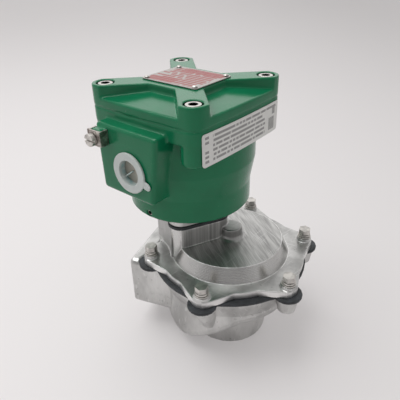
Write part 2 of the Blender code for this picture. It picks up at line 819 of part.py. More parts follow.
def bolt_end_z():
    return BOLT_HEAD_Z - BOLT_LENGTH


def make_valve_body(valve):
    """The casting is made too tall, then the notch tool faces its joint down to BODY_TOP_Z.

    Two bolts enter short ears, two enter long ears that lean into the wall, and the inlet
    boss takes the last two.
    """
    body = loft_round("valve_body", bowl_outside, closed=False)
    body.parent = valve
    boss = along_x(plate("boss_tool", boss_outline(), INLET_FACE_X, -SEAT_TUBE_R))
    round_edges(boss, BOSS_ROUND)
    places = bolt_places()
    ears = pillars("ear_tool", [places[index] for index in SHORT_EARS], BODY_EAR_FOOT_R,
                   BODY_TOP_Z - BODY_EAR_H, BODY_ROUGH_Z, STEPS_SMALL, top_radius=BODY_EAR_R)
    long_ears = pillars("long_ear_tool", [places[index] for index in LONG_EARS],
                        BODY_EAR_FOOT_R, BODY_TOP_Z - LONG_EAR_H, BODY_ROUGH_Z, STEPS_SMALL,
                        top_radius=BODY_EAR_R)
    lean_inwards(long_ears, BODY_TOP_Z, LONG_EAR_LEAN)
    pad = box("pad_tool",
              (PAD_X - 0.5 * PAD_SIZE, -BOSS_HALF_WIDTH - PAD_PROUD, PAD_Z - 0.5 * PAD_SIZE),
              (PAD_X + 0.5 * PAD_SIZE, -BOSS_HALF_WIDTH + OVERSHOOT, PAD_Z + 0.5 * PAD_SIZE))
    join(body, boss, ears, long_ears, pad)

    chamber = loft_round("chamber_tool", bowl_inside, closed=True)
    outlet = cylinder("outlet_tool", OUTLET_BORE_R, -OVERSHOOT, BODY_ROUGH_Z + OVERSHOOT,
                      STEPS_BIG)
    inlet = cylinder("inlet_tool", INLET_BORE_R, INLET_FACE_X - OVERSHOOT,
                     INLET_FACE_X + INLET_THREAD_L, STEPS_BIG)
    passage = cylinder("passage_tool", INLET_PASSAGE_R, INLET_FACE_X + INLET_THREAD_L - OVERSHOOT,
                       -SEAT_TUBE_R - PASSAGE_END_GAP, STEPS_BIG)
    for bore in (inlet, passage):
        along_x(bore)
        bore.location.z = INLET_Z
    notch = plate("notch_tool", diaphragm_outline(NOTCH_GAP), BODY_TOP_Z,
                  BOSS_TOP_Z + OVERSHOOT)
    bolt_holes = pillars("bolt_hole_tool", bolt_places(), BOLT_SHANK_R + THREAD_GAP,
                         bolt_end_z() - BOLT_HOLE_SPARE, BODY_ROUGH_Z, STEPS_FINE)
    cut(body, chamber, outlet, inlet, passage, notch, bolt_holes)
    cast_aluminium(body)


# Main diaphragm group

def make_main_diaphragm(valve):
    holes = [circle(BOLT_SHANK_R + 2.0 * THREAD_GAP, STEPS_FINE, place) for place in bolt_places()]
    holes.append(circle(STUD_R + THREAD_GAP, STEPS_FINE))
    rubber = plate("main_diaphragm", diaphragm_outline(), DIAPHRAGM_LOW_Z, DIAPHRAGM_TOP_Z, holes)
    rubber.parent = valve
    black_rubber(rubber)


def make_main_disc(main_axis):
    hole_r = STUD_R + THREAD_GAP
    top_plate = ring("diaphragm_top_plate", hole_r, TOP_PLATE_R, TOP_PLATE_Z,
                     TOP_PLATE_Z + TOP_PLATE_T, STEPS_MID)
    zinc_steel(top_plate)

    seat_top_z = DIAPHRAGM_LOW_Z - SEAT_GAP
    seat_plate = ring("diaphragm_seat_plate", hole_r, SEAT_PLATE_R, seat_top_z - SEAT_PLATE_T,
                      seat_top_z, STEPS_MID)
    zinc_steel(seat_plate)

    nut_z = TOP_PLATE_Z + TOP_PLATE_T + SEAT_GAP
    nut = hex_prism("diaphragm_nut", NUT_AF, nut_z, nut_z + NUT_H)
    nut.parent = main_axis
    cut(nut, cylinder("nut_hole_tool", hole_r, nut_z - OVERSHOOT, nut_z + NUT_H + OVERSHOOT,
                      STEPS_SMALL))
    stainless(nut)

    head_top_z = seat_top_z - SEAT_PLATE_T - SEAT_GAP
    stud_profile = [
        (0.0, nut_z + NUT_H + STUD_SPARE),
        (STUD_R, nut_z + NUT_H + STUD_SPARE),
        (STUD_R, head_top_z),
        (STUD_HEAD_R, head_top_z),
        (STUD_HEAD_R, head_top_z - STUD_HEAD_H),
        (0.0, head_top_z - STUD_HEAD_H),
    ]
    stud = turned("diaphragm_stud", stud_profile, STEPS_SMALL)
    stainless(stud)
    for piece in (top_plate, seat_plate, stud):
        piece.parent = main_axis

    spring = coil_spring("main_spring", nut_z, CHAMBER_ROOF_Z - SEAT_GAP, MAIN_SPRING_R_LOW,
                         MAIN_SPRING_R_HIGH, MAIN_SPRING_WIRE_R, MAIN_SPRING_TURNS)
    spring.parent = main_axis
    stainless(spring)


# Bonnet and its bolts

def dome_profile():
    inside_z = FLANGE_LOW_Z + 0.5 * BONNET_FLANGE_T
    return [
        (0.0, CROWN_Z),
        (DOME_EDGE_R, FLANGE_TOP_Z + DOME_EDGE_H),
        (DOME_BASE_R, FLANGE_TOP_Z),
        (DOME_BASE_R, inside_z),
        (0.0, inside_z),
    ]


def turret_profile():
    turret_z = FLANGE_TOP_Z + TURRET_H
    return [
        (0.0, turret_z),
        (TURRET_R - TURRET_EDGE, turret_z),
        (TURRET_R, turret_z - TURRET_EDGE),
        (TURRET_R, CROWN_Z + TURRET_FILLET),
        (TURRET_R + TURRET_FILLET / 3.0, CROWN_Z + TURRET_FILLET / 3.0),
        (TURRET_R + TURRET_FILLET, CROWN_Z),
        (TURRET_R + TURRET_FILLET, CROWN_Z - TURRET_FOOT),
        (0.0, CROWN_Z - TURRET_FOOT),
    ]


def bonnet_chamber_profile():
    nut_z = CHAMBER_ROOF_Z + NUT_POCKET_H
    stud_z = nut_z + STUD_POCKET_H
    low_z = FLANGE_LOW_Z - OVERSHOOT
    return [
        (0.0, stud_z),
        (STUD_POCKET_R, stud_z),
        (STUD_POCKET_R, nut_z),
        (NUT_POCKET_R, nut_z),
        (NUT_POCKET_R, CHAMBER_ROOF_Z),
        (CHAMBER_ROOF_R, CHAMBER_ROOF_Z),
        (CHAMBER_R, FLANGE_TOP_Z),
        (CHAMBER_R, low_z),
        (0.0, low_z),
    ]


def cap_screw_end_z():
    return CAP_PLATE_TOP_Z + SEAT_GAP - CAP_SCREW_LENGTH


def at_pilot(points):
    return [(x + PILOT_X, y) for x, y in points]


def make_bonnet(valve):
    bonnet = plate("bonnet", bonnet_outline(), FLANGE_LOW_Z, FLANGE_TOP_Z)
    bonnet.parent = valve
    spot_faces = pillars("spot_face_tool", bolt_places(), SPOT_FACE_R, FLANGE_TOP_Z - OVERSHOOT,
                         FLANGE_TOP_Z + SPOT_FACE_H, STEPS_SMALL)
    dome = turned("dome_tool", dome_profile())
    turret = turned("turret_tool", turret_profile(), STEPS_MID)
    turret.location.x = TURRET_X
    block = plate("block_tool", at_pilot(pilot_outline()), FLANGE_LOW_Z + BLOCK_FOOT_LIFT,
                  BLOCK_TOP_Z)
    join(bonnet, spot_faces, dome, turret, block)

    chamber = turned("bonnet_chamber_tool", bonnet_chamber_profile())
    bolt_holes = pillars("bonnet_hole_tool", bolt_places(), BOLT_SHANK_R + THREAD_GAP,
                         FLANGE_LOW_Z - OVERSHOOT, WASHER_Z + OVERSHOOT, STEPS_FINE)
    well_z = BLOCK_TOP_Z - PILOT_CHAMBER_DEPTH
    well = ring("pilot_well_tool", PILOT_SEAT_R, PILOT_CHAMBER_R, well_z, BLOCK_TOP_Z + OVERSHOOT,
                STEPS_MID)
    bore_low_z = FLANGE_TOP_Z + PILOT_BORE_LOW_H
    bore = cylinder("pilot_bore_tool", PILOT_BORE_R, bore_low_z, BLOCK_TOP_Z + OVERSHOOT,
                    STEPS_SMALL)
    for tool in (well, bore):
        tool.location.x = PILOT_X
    passage = pillars("pilot_passage_tool", [(PILOT_X + PASSAGE_OFFSET, 0.0)], PASSAGE_R,
                      CHAMBER_ROOF_Z - OVERSHOOT, well_z + OVERSHOOT, STEPS_FINE)
    exhaust = cylinder("exhaust_tool", PILOT_BORE_R, -PILOT_CORNER_REACH - 2.0 * PILOT_CORNER_R,
                       0.0, STEPS_SMALL)
    facing_front(exhaust, PILOT_X, FLANGE_TOP_Z + EXHAUST_H)
    screw_holes = pillars("cap_thread_tool", at_pilot(pilot_corners()), CAP_SCREW_R + THREAD_GAP,
                          cap_screw_end_z() - BOLT_HOLE_SPARE, BLOCK_TOP_Z + OVERSHOOT,
                          STEPS_FINE)
    cut(bonnet, chamber, bolt_holes, well, bore, passage, exhaust, screw_holes)
    cast_aluminium(bonnet)


def make_bonnet_bolts(valve):
    hole_r = BOLT_SHANK_R + THREAD_GAP

    washer = ring("bonnet_washer", hole_r, WASHER_R, 0.0, WASHER_T, STEPS_SMALL)
    stainless(washer)
    copies(washer, [(x, y, WASHER_Z) for x, y in bolt_places()], valve)

    lock = ring("bonnet_spring_washer", hole_r, SPRING_WASHER_R, 0.0, SPRING_WASHER_T,
                STEPS_SMALL)
    half_slit = 0.5 * SPRING_WASHER_SLIT
    cut(lock, box("slit_tool", (0.0, -half_slit, -OVERSHOOT),
                  (SPRING_WASHER_R + OVERSHOOT, half_slit, SPRING_WASHER_T + OVERSHOOT)))
    stainless(lock)
    copies(lock, [(x, y, SPRING_WASHER_Z) for x, y in bolt_places()], valve)

    bolt = hex_prism("bonnet_bolt", BOLT_HEAD_AF, 0.0, BOLT_HEAD_H)
    join(bolt, cylinder("shank_tool", BOLT_SHANK_R, -BOLT_LENGTH, 0.5 * BOLT_HEAD_H, STEPS_FINE))
    stainless(bolt)
    copies(bolt, [(x, y, BOLT_HEAD_Z) for x, y in bolt_places()], valve)


# Pilot stage

def make_pilot_stage(valve, pilot_axis):
    holes = [circle(CAP_SCREW_R + THREAD_GAP, STEPS_FINE, place) for place in pilot_corners()]
    rubber = plate("pilot_diaphragm", pilot_outline(PILOT_RUBBER_PROUD), PILOT_RUBBER_Z,
                   PILOT_RUBBER_Z + PILOT_RUBBER_T, holes)
    black_rubber(rubber)

    disc = cylinder("pilot_disc", PILOT_DISC_R, CAP_LOW_Z, CAP_LOW_Z + PILOT_DISC_T)
    zinc_steel(disc)
    spring = coil_spring("pilot_spring", CAP_LOW_Z + PILOT_DISC_T + SEAT_GAP,
                         CAP_ROOF_Z - SEAT_GAP, PILOT_SPRING_R_LOW, PILOT_SPRING_R_HIGH,
                         PILOT_SPRING_WIRE_R, PILOT_SPRING_TURNS, steps=10)
    stainless(spring)
    for piece in (rubber, disc, spring):
        piece.parent = pilot_axis

    cap = plate("pilot_cap", pilot_outline(), CAP_LOW_Z, CAP_PLATE_TOP_Z)
    cap.parent = pilot_axis
    join(cap, cylinder("cap_hub_tool", CAP_HUB_R, CAP_LOW_Z + OVERSHOOT, CAP_TOP_Z, STEPS_MID))
    chamber = cylinder("cap_chamber_tool", PILOT_CHAMBER_R, CAP_LOW_Z - OVERSHOOT, CAP_ROOF_Z)
    socket_r = CORE_NECK_R + THREAD_GAP
    socket_profile = [
        (0.0, CAP_TOP_Z + OVERSHOOT),
        (socket_r, CAP_TOP_Z + OVERSHOOT),
        (socket_r, CAP_SOCKET_Z),
        (NOZZLE_R, CAP_SOCKET_Z),
        (NOZZLE_R, NOZZLE_TOP_Z),
        (0.0, NOZZLE_TOP_Z),
    ]
    socket = turned("cap_socket_tool", socket_profile, STEPS_MID)
    nozzle = cylinder("nozzle_tool", NOZZLE_BORE_R, CAP_ROOF_Z - OVERSHOOT,
                      NOZZLE_TOP_Z + OVERSHOOT, STEPS_FINE)
    screw_holes = pillars("cap_hole_tool", pilot_corners(), CAP_SCREW_R + THREAD_GAP,
                          CAP_LOW_Z - OVERSHOOT, CAP_PLATE_TOP_Z + OVERSHOOT, STEPS_FINE)
    cut(cap, chamber, socket, nozzle, screw_holes)
    cast_aluminium(cap)

    screw = cylinder("pilot_cap_screw", CAP_SCREW_HEAD_R, 0.0, CAP_SCREW_HEAD_H, STEPS_SMALL)
    join(screw, cylinder("cap_shank_tool", CAP_SCREW_R, -CAP_SCREW_LENGTH,
                         0.3 * CAP_SCREW_HEAD_H, STEPS_FINE))
    cut(screw, cylinder("cap_hex_tool", CAP_SCREW_SOCKET_R,
                        CAP_SCREW_HEAD_H - CAP_SCREW_SOCKET_DEPTH,
                        CAP_SCREW_HEAD_H + OVERSHOOT, steps=6))
    stainless(screw)
    seat_z = CAP_PLATE_TOP_Z + SEAT_GAP
    copies(screw, [(x, y, seat_z) for x, y in pilot_corners()], pilot_axis)


def make_core(pilot_axis, plunger_axis):
    tube_low_z = CAP_SOCKET_Z + SEAT_GAP
    tube_profile = [
        (0.0, CORE_TUBE_TOP_Z),
        (CORE_TUBE_R, CORE_TUBE_TOP_Z),
        (CORE_TUBE_R, CORE_HEX_Z),
        (CORE_NECK_R, CORE_HEX_Z),
        (CORE_NECK_R, tube_low_z),
        (0.0, tube_low_z),
    ]
    tube = turned("core_tube", tube_profile, STEPS_MID)
    tube.parent = pilot_axis
    join(tube, hex_prism("core_hex_tool", CORE_HEX_AF, CORE_HEX_Z, CORE_HEX_TOP_Z))
    cut(tube, cylinder("core_bore_tool", CORE_BORE_R, tube_low_z - OVERSHOOT, CORE_ROOF_Z))
    stainless(tube)

    seal = round_wire_ring("core_tube_seal", CORE_SEAL_MAJOR_R, CORE_SEAL_MINOR_R,
                           CAP_TOP_Z + SEAT_GAP + CORE_SEAL_MINOR_R, STEPS_MID)
    seal.parent = pilot_axis
    black_rubber(seal)

    plunger_r = CORE_BORE_R - RUNNING_GAP
    seat_r = PLUNGER_DISC_R + SEAT_GAP
    well_z = PLUNGER_TOP_Z - PLUNGER_WELL_DEPTH
    plunger_profile = [
        (0.0, well_z),
        (PLUNGER_WELL_R, well_z),
        (PLUNGER_WELL_R, PLUNGER_TOP_Z),
        (plunger_r, PLUNGER_TOP_Z),
        (plunger_r, PLUNGER_LOW_Z),
        (seat_r, PLUNGER_LOW_Z),
        (seat_r, PLUNGER_LOW_Z + PLUNGER_DISC_T),
        (0.0, PLUNGER_LOW_Z + PLUNGER_DISC_T),
    ]
    plunger = turned("plunger", plunger_profile, STEPS_MID)
    stainless(plunger)
    disc_z = NOZZLE_TOP_Z + SEAT_GAP
    disc = cylinder("plunger_disc", PLUNGER_DISC_R, disc_z, disc_z + PLUNGER_DISC_T, STEPS_SMALL)
    black_rubber(disc)
    spring = coil_spring("plunger_spring", well_z + SEAT_GAP, CORE_ROOF_Z - SEAT_GAP,
                         CORE_SPRING_R, CORE_SPRING_R, CORE_SPRING_WIRE_R, CORE_SPRING_TURNS,
                         steps=10)
    stainless(spring)
    for piece in (plunger, disc, spring):
        piece.parent = plunger_axis


# Solenoid, in the housing's frame with heights counted from the housing's underside

def make_coil(housing):
    low, high = YOKE_LOW_Z - HOUSING_Z, YOKE_TOP_Z - HOUSING_Z
    tube_gap_r = CORE_TUBE_R + SEAT_GAP
    outer = [(-YOKE_HALF_X, low), (YOKE_HALF_X, low), (YOKE_HALF_X, high), (-YOKE_HALF_X, high)]
    inner_x = YOKE_HALF_X - YOKE_T
    inner = [(-inner_x, low + YOKE_T), (inner_x, low + YOKE_T),
             (inner_x, high - YOKE_T), (-inner_x, high - YOKE_T)]
    yoke = facing_front(plate("coil_yoke", outer, -YOKE_HALF_Y, YOKE_HALF_Y, [inner]), 0.0, 0.0)
    yoke.parent = housing
    cut(yoke, cylinder("yoke_hole_tool", tube_gap_r, low - OVERSHOOT, high + OVERSHOOT))
    zinc_steel(yoke)

    coil_low = COIL_Z - HOUSING_Z
    coil_high = coil_low + COIL_H
    coil_profile = [
        (COIL_R - COIL_ROUND, coil_high),
        (COIL_R, coil_high - COIL_ROUND),
        (COIL_R, coil_low + COIL_ROUND),
        (COIL_R - COIL_ROUND, coil_low),
        (tube_gap_r, coil_low),
        (tube_gap_r, coil_high),
    ]
    coil = turned("coil", coil_profile, STEPS_MID, closed=True)
    coil.parent = housing
    finish(coil, (0.03, 0.03, 0.035), 0.45, 0.0)

    clip_low = CLIP_Z - HOUSING_Z
    clip = ring("coil_clip", tube_gap_r, CLIP_R, clip_low, clip_low + CLIP_T, STEPS_SMALL)
    clip.parent = housing
    zinc_steel(clip)

    block_y = -CLIP_R - 2.0 * SEAT_GAP
    block = box("terminal_block", (-TERMINAL_HALF_X, block_y - TERMINAL_DEPTH, clip_low),
                (TERMINAL_HALF_X, block_y, clip_low + TERMINAL_H))
    block.parent = housing
    step_top = clip_low + TERMINAL_H - TERMINAL_STEP
    cut(block, box("terminal_step_tool",
                   (-TERMINAL_HALF_X - OVERSHOOT, block_y - TERMINAL_DEPTH - OVERSHOOT, step_top),
                   (TERMINAL_HALF_X + OVERSHOOT, block_y - 0.5 * TERMINAL_DEPTH,
                    clip_low + TERMINAL_H + OVERSHOOT)))
    finish(block, (0.05, 0.05, 0.05), 0.5, 0.0)


# Housing

def housing_tub_profile():
    return [
        (0.0, RIM_LOW_H + OVERSHOOT),
        (TUB_R, RIM_LOW_H + OVERSHOOT),
        (TUB_R, TUB_CONE_HIGH_H),
        (TUB_FOOT_R, TUB_CONE_LOW_H),
        (TUB_FOOT_R, TUB_FOOT_ROUND),
        (TUB_FOOT_R - TUB_FOOT_ROUND, 0.0),
        (0.0, 0.0),
    ]


def housing_room_profile():
    return [
        (0.0, RIM_TOP_H + OVERSHOOT),
        (COVER_BORE_R, RIM_TOP_H + OVERSHOOT),
        (COVER_BORE_R, TUB_CONE_HIGH_H),
        (TUB_FOOT_R - TUB_WALL, TUB_CONE_LOW_H),
        (TUB_FOOT_R - TUB_WALL, HOUSING_FLOOR_T),
        (0.0, HOUSING_FLOOR_T),
    ]


def cover_screw_end_h():
    return COVER_SCREW_SEAT_H + SEAT_GAP - COVER_SCREW_L


def make_housing(housing):
    tub = turned("solenoid_housing", housing_tub_profile())
    tub.parent = housing
    rim = plate("rim_tool", lugged_outline(), RIM_LOW_H, RIM_TOP_H)
    lug_low = RIM_LOW_H - LOWER_LUG_H
    skirt = plate("skirt_tool", skirt_outline(), lug_low, RIM_LOW_H + OVERSHOOT)
    lugs = pillars("lower_lug_tool", lug_places()[2:], LOWER_LUG_R, lug_low,
                   RIM_LOW_H + OVERSHOOT, STEPS_MID)
    for tool in (skirt, lugs):
        round_edges(tool, LOWER_LUG_ROUND, angle=math.radians(60.0))
    box_outline = [(BOX_LEFT_LOW_X, BOX_LOW_H), (BOX_RIGHT_LOW_X, BOX_LOW_H),
                   (BOX_RIGHT_TOP_X, BOX_TOP_H), (BOX_LEFT_TOP_X, BOX_TOP_H)]
    entry_box = facing_front(plate("entry_box_tool", box_outline, -BOX_BACK_Y, -BOX_FACE_Y),
                             0.0, 0.0)
    round_edges(entry_box, BOX_ROUND, segments=2)
    earth_boss = box("earth_boss_tool",
                     (EARTH_BOSS_LEFT_X, BOX_FACE_Y - EARTH_BOSS_PROUD, EARTH_BOSS_LOW_H),
                     (EARTH_BOSS_RIGHT_X, BOX_FACE_Y + 2.0 * BOX_ROUND, EARTH_BOSS_TOP_H))
    join(tub, rim, skirt, lugs, entry_box, earth_boss)

    room = turned("housing_room_tool", housing_room_profile())
    wall = BOX_ROOM_WALL
    box_room = box("entry_room_tool",
                   (BOX_LEFT_LOW_X + wall, BOX_FACE_Y + BOX_FRONT_WALL, BOX_LOW_H + wall),
                   (BOX_RIGHT_LOW_X - wall, BOX_ROOM_BACK_Y, BOX_TOP_H - wall))
    front = -BOX_FACE_Y
    entry = facing_front(cylinder("entry_tool", ENTRY_BORE_R, front - BOX_FRONT_WALL - OVERSHOOT,
                                  front + OVERSHOOT), 0.0, ENTRY_H)
    neck = cylinder("neck_hole_tool", CORE_NECK_R + THREAD_GAP, -OVERSHOOT,
                    HOUSING_FLOOR_T + OVERSHOOT)
    seal_r = CORE_SEAL_MAJOR_R + CORE_SEAL_MINOR_R + SEAT_GAP
    seal_room = cylinder("seal_room_tool", seal_r, -OVERSHOOT,
                         2.0 * CORE_SEAL_MINOR_R + SEAT_GAP)
    lug_holes = pillars("lug_hole_tool", lug_places(), COVER_SCREW_R + THREAD_GAP,
                        cover_screw_end_h() - BOLT_HOLE_SPARE, RIM_TOP_H + OVERSHOOT,
                        STEPS_SMALL)
    set_hole = facing_front(cylinder("set_hole_tool", SET_SCREW_R + THREAD_GAP,
                                     TUB_FOOT_R - SET_SCREW_SUNK - SET_SCREW_L - SEAT_GAP,
                                     TUB_FOOT_R + OVERSHOOT, STEPS_SMALL), 0.0, SET_SCREW_H)
    earth_out = front + EARTH_BOSS_PROUD
    earth_hole = facing_front(cylinder("earth_hole_tool", EARTH_SCREW_R + THREAD_GAP,
                                       earth_out - EARTH_SCREW_L, earth_out + OVERSHOOT,
                                       STEPS_FINE), EARTH_SCREW_X, EARTH_SCREW_H)
    cut(tub, room, box_room, entry, neck, seal_room, lug_holes, set_hole, earth_hole)
    green_paint(tub)


def make_housing_fittings(housing):
    seat = TUB_FOOT_R - SET_SCREW_SUNK
    set_screw = facing_front(cylinder("set_screw", SET_SCREW_R, seat - SET_SCREW_L, seat,
                                      STEPS_SMALL), 0.0, SET_SCREW_H)
    set_screw.parent = housing
    cut(set_screw, facing_front(cylinder("set_hex_tool", SET_SOCKET_R, seat - SET_SOCKET_DEPTH,
                                         seat + OVERSHOOT, steps=6), 0.0, SET_SCREW_H))
    stainless(set_screw)

    boss_front_y = BOX_FACE_Y - EARTH_BOSS_PROUD
    inner_y = boss_front_y - SEAT_GAP
    outer_y = inner_y - SADDLE_T
    left_in_x = EARTH_BOSS_LEFT_X - SEAT_GAP
    left_out_x = left_in_x - SADDLE_T
    right_in_x = EARTH_BOSS_RIGHT_X + SEAT_GAP
    right_out_x = right_in_x + SADDLE_T
    leg_end_y = BOX_FACE_Y - SEAT_GAP
    outline = [(left_out_x, outer_y), (right_out_x, outer_y), (right_out_x, leg_end_y),
               (right_in_x, leg_end_y), (right_in_x, inner_y), (left_in_x, inner_y),
               (left_in_x, leg_end_y), (left_out_x, leg_end_y)]
    saddle = plate("earth_clamp", outline, EARTH_BOSS_LOW_H, EARTH_BOSS_TOP_H)
    saddle.parent = housing
    hole_r = EARTH_SCREW_R + THREAD_GAP
    cut(saddle, facing_front(cylinder("clamp_hole_tool", hole_r, -inner_y - OVERSHOOT,
                                      -outer_y + OVERSHOOT, STEPS_FINE),
                             EARTH_SCREW_X, EARTH_SCREW_H))
    stainless(saddle)

    head_low = -outer_y + SEAT_GAP
    head_high = head_low + EARTH_HEAD_H
    shank_low = -boss_front_y - EARTH_SCREW_L + SEAT_GAP
    screw = facing_front(cylinder("earth_screw", EARTH_HEAD_R, head_low, head_high, STEPS_SMALL),
                         EARTH_SCREW_X, EARTH_SCREW_H)
    screw.parent = housing
    join(screw, facing_front(cylinder("earth_shank_tool", EARTH_SCREW_R, shank_low,
                                      0.5 * (head_low + head_high), STEPS_FINE),
                             EARTH_SCREW_X, EARTH_SCREW_H))
    half_slot = 0.5 * EARTH_SLOT_W
    slot_y = -head_high + EARTH_SLOT_DEPTH
    cut(screw, box("earth_slot_tool",
                   (EARTH_SCREW_X - EARTH_HEAD_R - OVERSHOOT, -head_high - OVERSHOOT,
                    EARTH_SCREW_H - half_slot),
                   (EARTH_SCREW_X + EARTH_HEAD_R + OVERSHOOT, slot_y,
                    EARTH_SCREW_H + half_slot)))
    stainless(screw)


# Cover

def pocket_outline():
    """One pocket of the cover's top, with x counted outwards from the plateau's edge."""
    inner_half = PLATEAU_HALF - ARM_HALF_WIDTH * math.sqrt(2.0)
    reach = SIDE_FLAT + SIDE_BULGE + OVERSHOOT - PLATEAU_HALF
    outer_half = inner_half + reach
    return [(0.0, -inner_half), (reach, -outer_half), (reach, outer_half), (0.0, inner_half)]


def pocket_tool(index):
    """A wedge whose underside falls outwards from the plateau's edge."""
    turn = 0.25 * FULL_TURN * index
    tool = plate(f"pocket_tool_{index + 1}", pocket_outline(), -POCKET_DEPTH, OVERSHOOT)
    fall = math.tan(POCKET_SLOPE)
    for vertex in tool.data.vertices:
        if vertex.co.z < 0.0:
            vertex.co.z -= fall * vertex.co.x
    tool.location = (*polar(PLATEAU_HALF, turn), COVER_TOP_H + tool.location.z)
    tool.rotation_euler.z = turn
    return tool


def rivet_places():
    x = NAMEPLATE_HALF_X - RIVET_INSET
    y = NAMEPLATE_HALF_Y - RIVET_INSET
    return [(x, -y), (x, y), (-x, y), (-x, -y)]


def make_cover(housing):
    cover = plate("housing_cover", lugged_outline(), COVER_LOW_H, COVER_TOP_H)
    cover.parent = housing
    guide_low = COVER_LOW_H - SPIGOT_GUIDE_L
    join(cover, cylinder("cover_guide_tool", COVER_BORE_R - SEAT_GAP, guide_low,
                         COVER_LOW_H + OVERSHOOT, STEPS_BIG))

    seal_h = COVER_LOW_H - COVER_SEAL_DROP
    seal_major = COVER_BORE_R - SEAT_GAP - COVER_SEAL_MINOR_R
    half_groove = COVER_SEAL_MINOR_R + SEAT_GAP
    groove = ring("cover_groove_tool", seal_major - half_groove, COVER_BORE_R + OVERSHOOT,
                  seal_h - half_groove, seal_h + half_groove)
    room = cylinder("cover_room_tool", COVER_ROOM_R, guide_low - OVERSHOOT,
                    COVER_LOW_H + COVER_ROOM_H, STEPS_BIG)
    sinks = pillars("cover_sink_tool", lug_places(), COVER_SCREW_SINK_R, COVER_SCREW_SEAT_H,
                    COVER_TOP_H + OVERSHOOT, STEPS_SMALL)
    holes = pillars("cover_hole_tool", lug_places(), COVER_SCREW_R + THREAD_GAP,
                    COVER_LOW_H - OVERSHOOT, COVER_TOP_H + OVERSHOOT, STEPS_SMALL)
    rivet_holes = pillars("rivet_hole_tool", rivet_places(), RIVET_SHANK_R + SEAT_GAP,
                          COVER_TOP_H - RIVET_L, COVER_TOP_H + OVERSHOOT, STEPS_FINE)
    cut(cover, groove, room, *[pocket_tool(index) for index in range(4)], sinks, holes,
        rivet_holes)
    green_paint(cover)

    seal = round_wire_ring("cover_seal", seal_major, COVER_SEAL_MINOR_R, seal_h)
    seal.parent = housing
    black_rubber(seal)

    screw = cylinder("cover_screw", COVER_SCREW_HEAD_R, 0.0, COVER_SCREW_HEAD_H, STEPS_SMALL)
    join(screw, cylinder("cover_shank_tool", COVER_SCREW_R, -COVER_SCREW_L,
                         0.3 * COVER_SCREW_HEAD_H, STEPS_FINE))
    cut(screw, cylinder("cover_hex_tool", COVER_SOCKET_R, COVER_SCREW_HEAD_H - COVER_SOCKET_DEPTH,
                        COVER_SCREW_HEAD_H + OVERSHOOT, steps=6))
    stainless(screw)
    seat_h = COVER_SCREW_SEAT_H + SEAT_GAP
    copies(screw, [(x, y, seat_h) for x, y in lug_places()], housing)


def make_nameplate(housing):
    x, y, corner = NAMEPLATE_HALF_X, NAMEPLATE_HALF_Y, NAMEPLATE_CORNER
    outline = [(x - corner, -y), (x, -y + corner), (x, y - corner), (x - corner, y),
               (corner - x, y), (-x, y - corner), (-x, corner - y), (corner - x, -y)]
    holes = [circle(RIVET_SHANK_R + SEAT_GAP, STEPS_FINE, place) for place in rivet_places()]
    low = COVER_TOP_H + SEAT_GAP
    nameplate = plate("nameplate", outline, low, low + NAMEPLATE_T, holes)
    nameplate.parent = housing
    finish(nameplate, (0.66, 0.66, 0.66), 0.35, 1.0)

    dome = arc((0.0, 0.0), 1.0, 0.25 * FULL_TURN, 0.0, 4)[1:]
    profile = [(0.0, RIVET_HEAD_H)]
    profile += [(RIVET_HEAD_R * x, RIVET_HEAD_H * y) for x, y in dome]
    profile +=[(RIVET_SHANK_R, 0.0), (RIVET_SHANK_R, -RIVET_L), (0.0, -RIVET_L)]
    rivet = turned("nameplate_rivet", profile, STEPS_FINE)
    stainless(rivet)
    seat_h = low + NAMEPLATE_T + SEAT_GAP
    copies(rivet, [(x, y, seat_h) for x, y in rivet_places()], housing)


def label_path(offset):
    """From round the front lug, across the side's bulge, to round the right lug."""
    front, right = (LUG_PITCH_HALF, -LUG_PITCH_HALF), (LUG_PITCH_HALF, LUG_PITCH_HALF)
    radius = LUG_R + offset
    path = arc(front, radius, -LABEL_WRAP_FRONT, 0.0, 3)
    for step in range(-5, 6):
        share = step / 6.0
        bulge = SIDE_BULGE * (1.0 - share * share)
        path.append((SIDE_FLAT + offset + bulge, share * LUG_PITCH_HALF))
    return path + arc(right, radius, 0.0, LABEL_WRAP_RIGHT, 2)


def make_label(housing):
    outline = label_path(SEAT_GAP + LABEL_T) + list(reversed(label_path(SEAT_GAP)))
    label = plate("side_label", outline, LABEL_LOW_H, LABEL_HIGH_H)
    label.parent = housing
    finish(label, (0.80, 0.80, 0.78), 0.5, 0.0)


def make_plug(plug_axis):
    """The dust plug, made along its own +Z, which points out of the entry."""
    barrel_r = ENTRY_BORE_R - THREAD_GAP
    cup_r = barrel_r - PLUG_WALL
    flange_low = SEAT_GAP
    flange_high = flange_low + PLUG_FLANGE_T
    profile = [
        (0.0, PLUG_WALL - PLUG_DEPTH),
        (cup_r, PLUG_WALL - PLUG_DEPTH),
        (cup_r, flange_high),
        (PLUG_FLANGE_R, flange_high),
        (PLUG_FLANGE_R, flange_low),
        (barrel_r, flange_low),
        (barrel_r, -PLUG_DEPTH),
        (0.0, -PLUG_DEPTH),
    ]
    plug = turned("entry_plug", profile)
    plug.parent = plug_axis
    half = PLUG_TAB_HALF_WIDTH
    tip = arc((PLUG_TAB_REACH - half, 0.0), half, -0.25 * FULL_TURN, 0.25 * FULL_TURN, 8)
    root_x = 0.5 * (cup_r + PLUG_FLANGE_R)
    outline = turned_about([(root_x, -half)] + tip + [(root_x, half)], PLUG_TAB_ANGLE)
    tab = plate("plug_tab_tool", outline, flange_low + PLUG_TAB_STEP,
                flange_low + PLUG_TAB_STEP + PLUG_TAB_T)
    rib = box("plug_rib_tool", (-0.5 * PLUG_RIB_T, -cup_r - 0.5 * PLUG_WALL, -PLUG_DEPTH),
              (0.5 * PLUG_RIB_T, PLUG_RIB_L - cup_r, -PLUG_DEPTH + PLUG_WALL + PLUG_RIB_L))
    join(plug, tab, rib)
    finish(plug, (0.78, 0.80, 0.80), 0.35, 0.0)


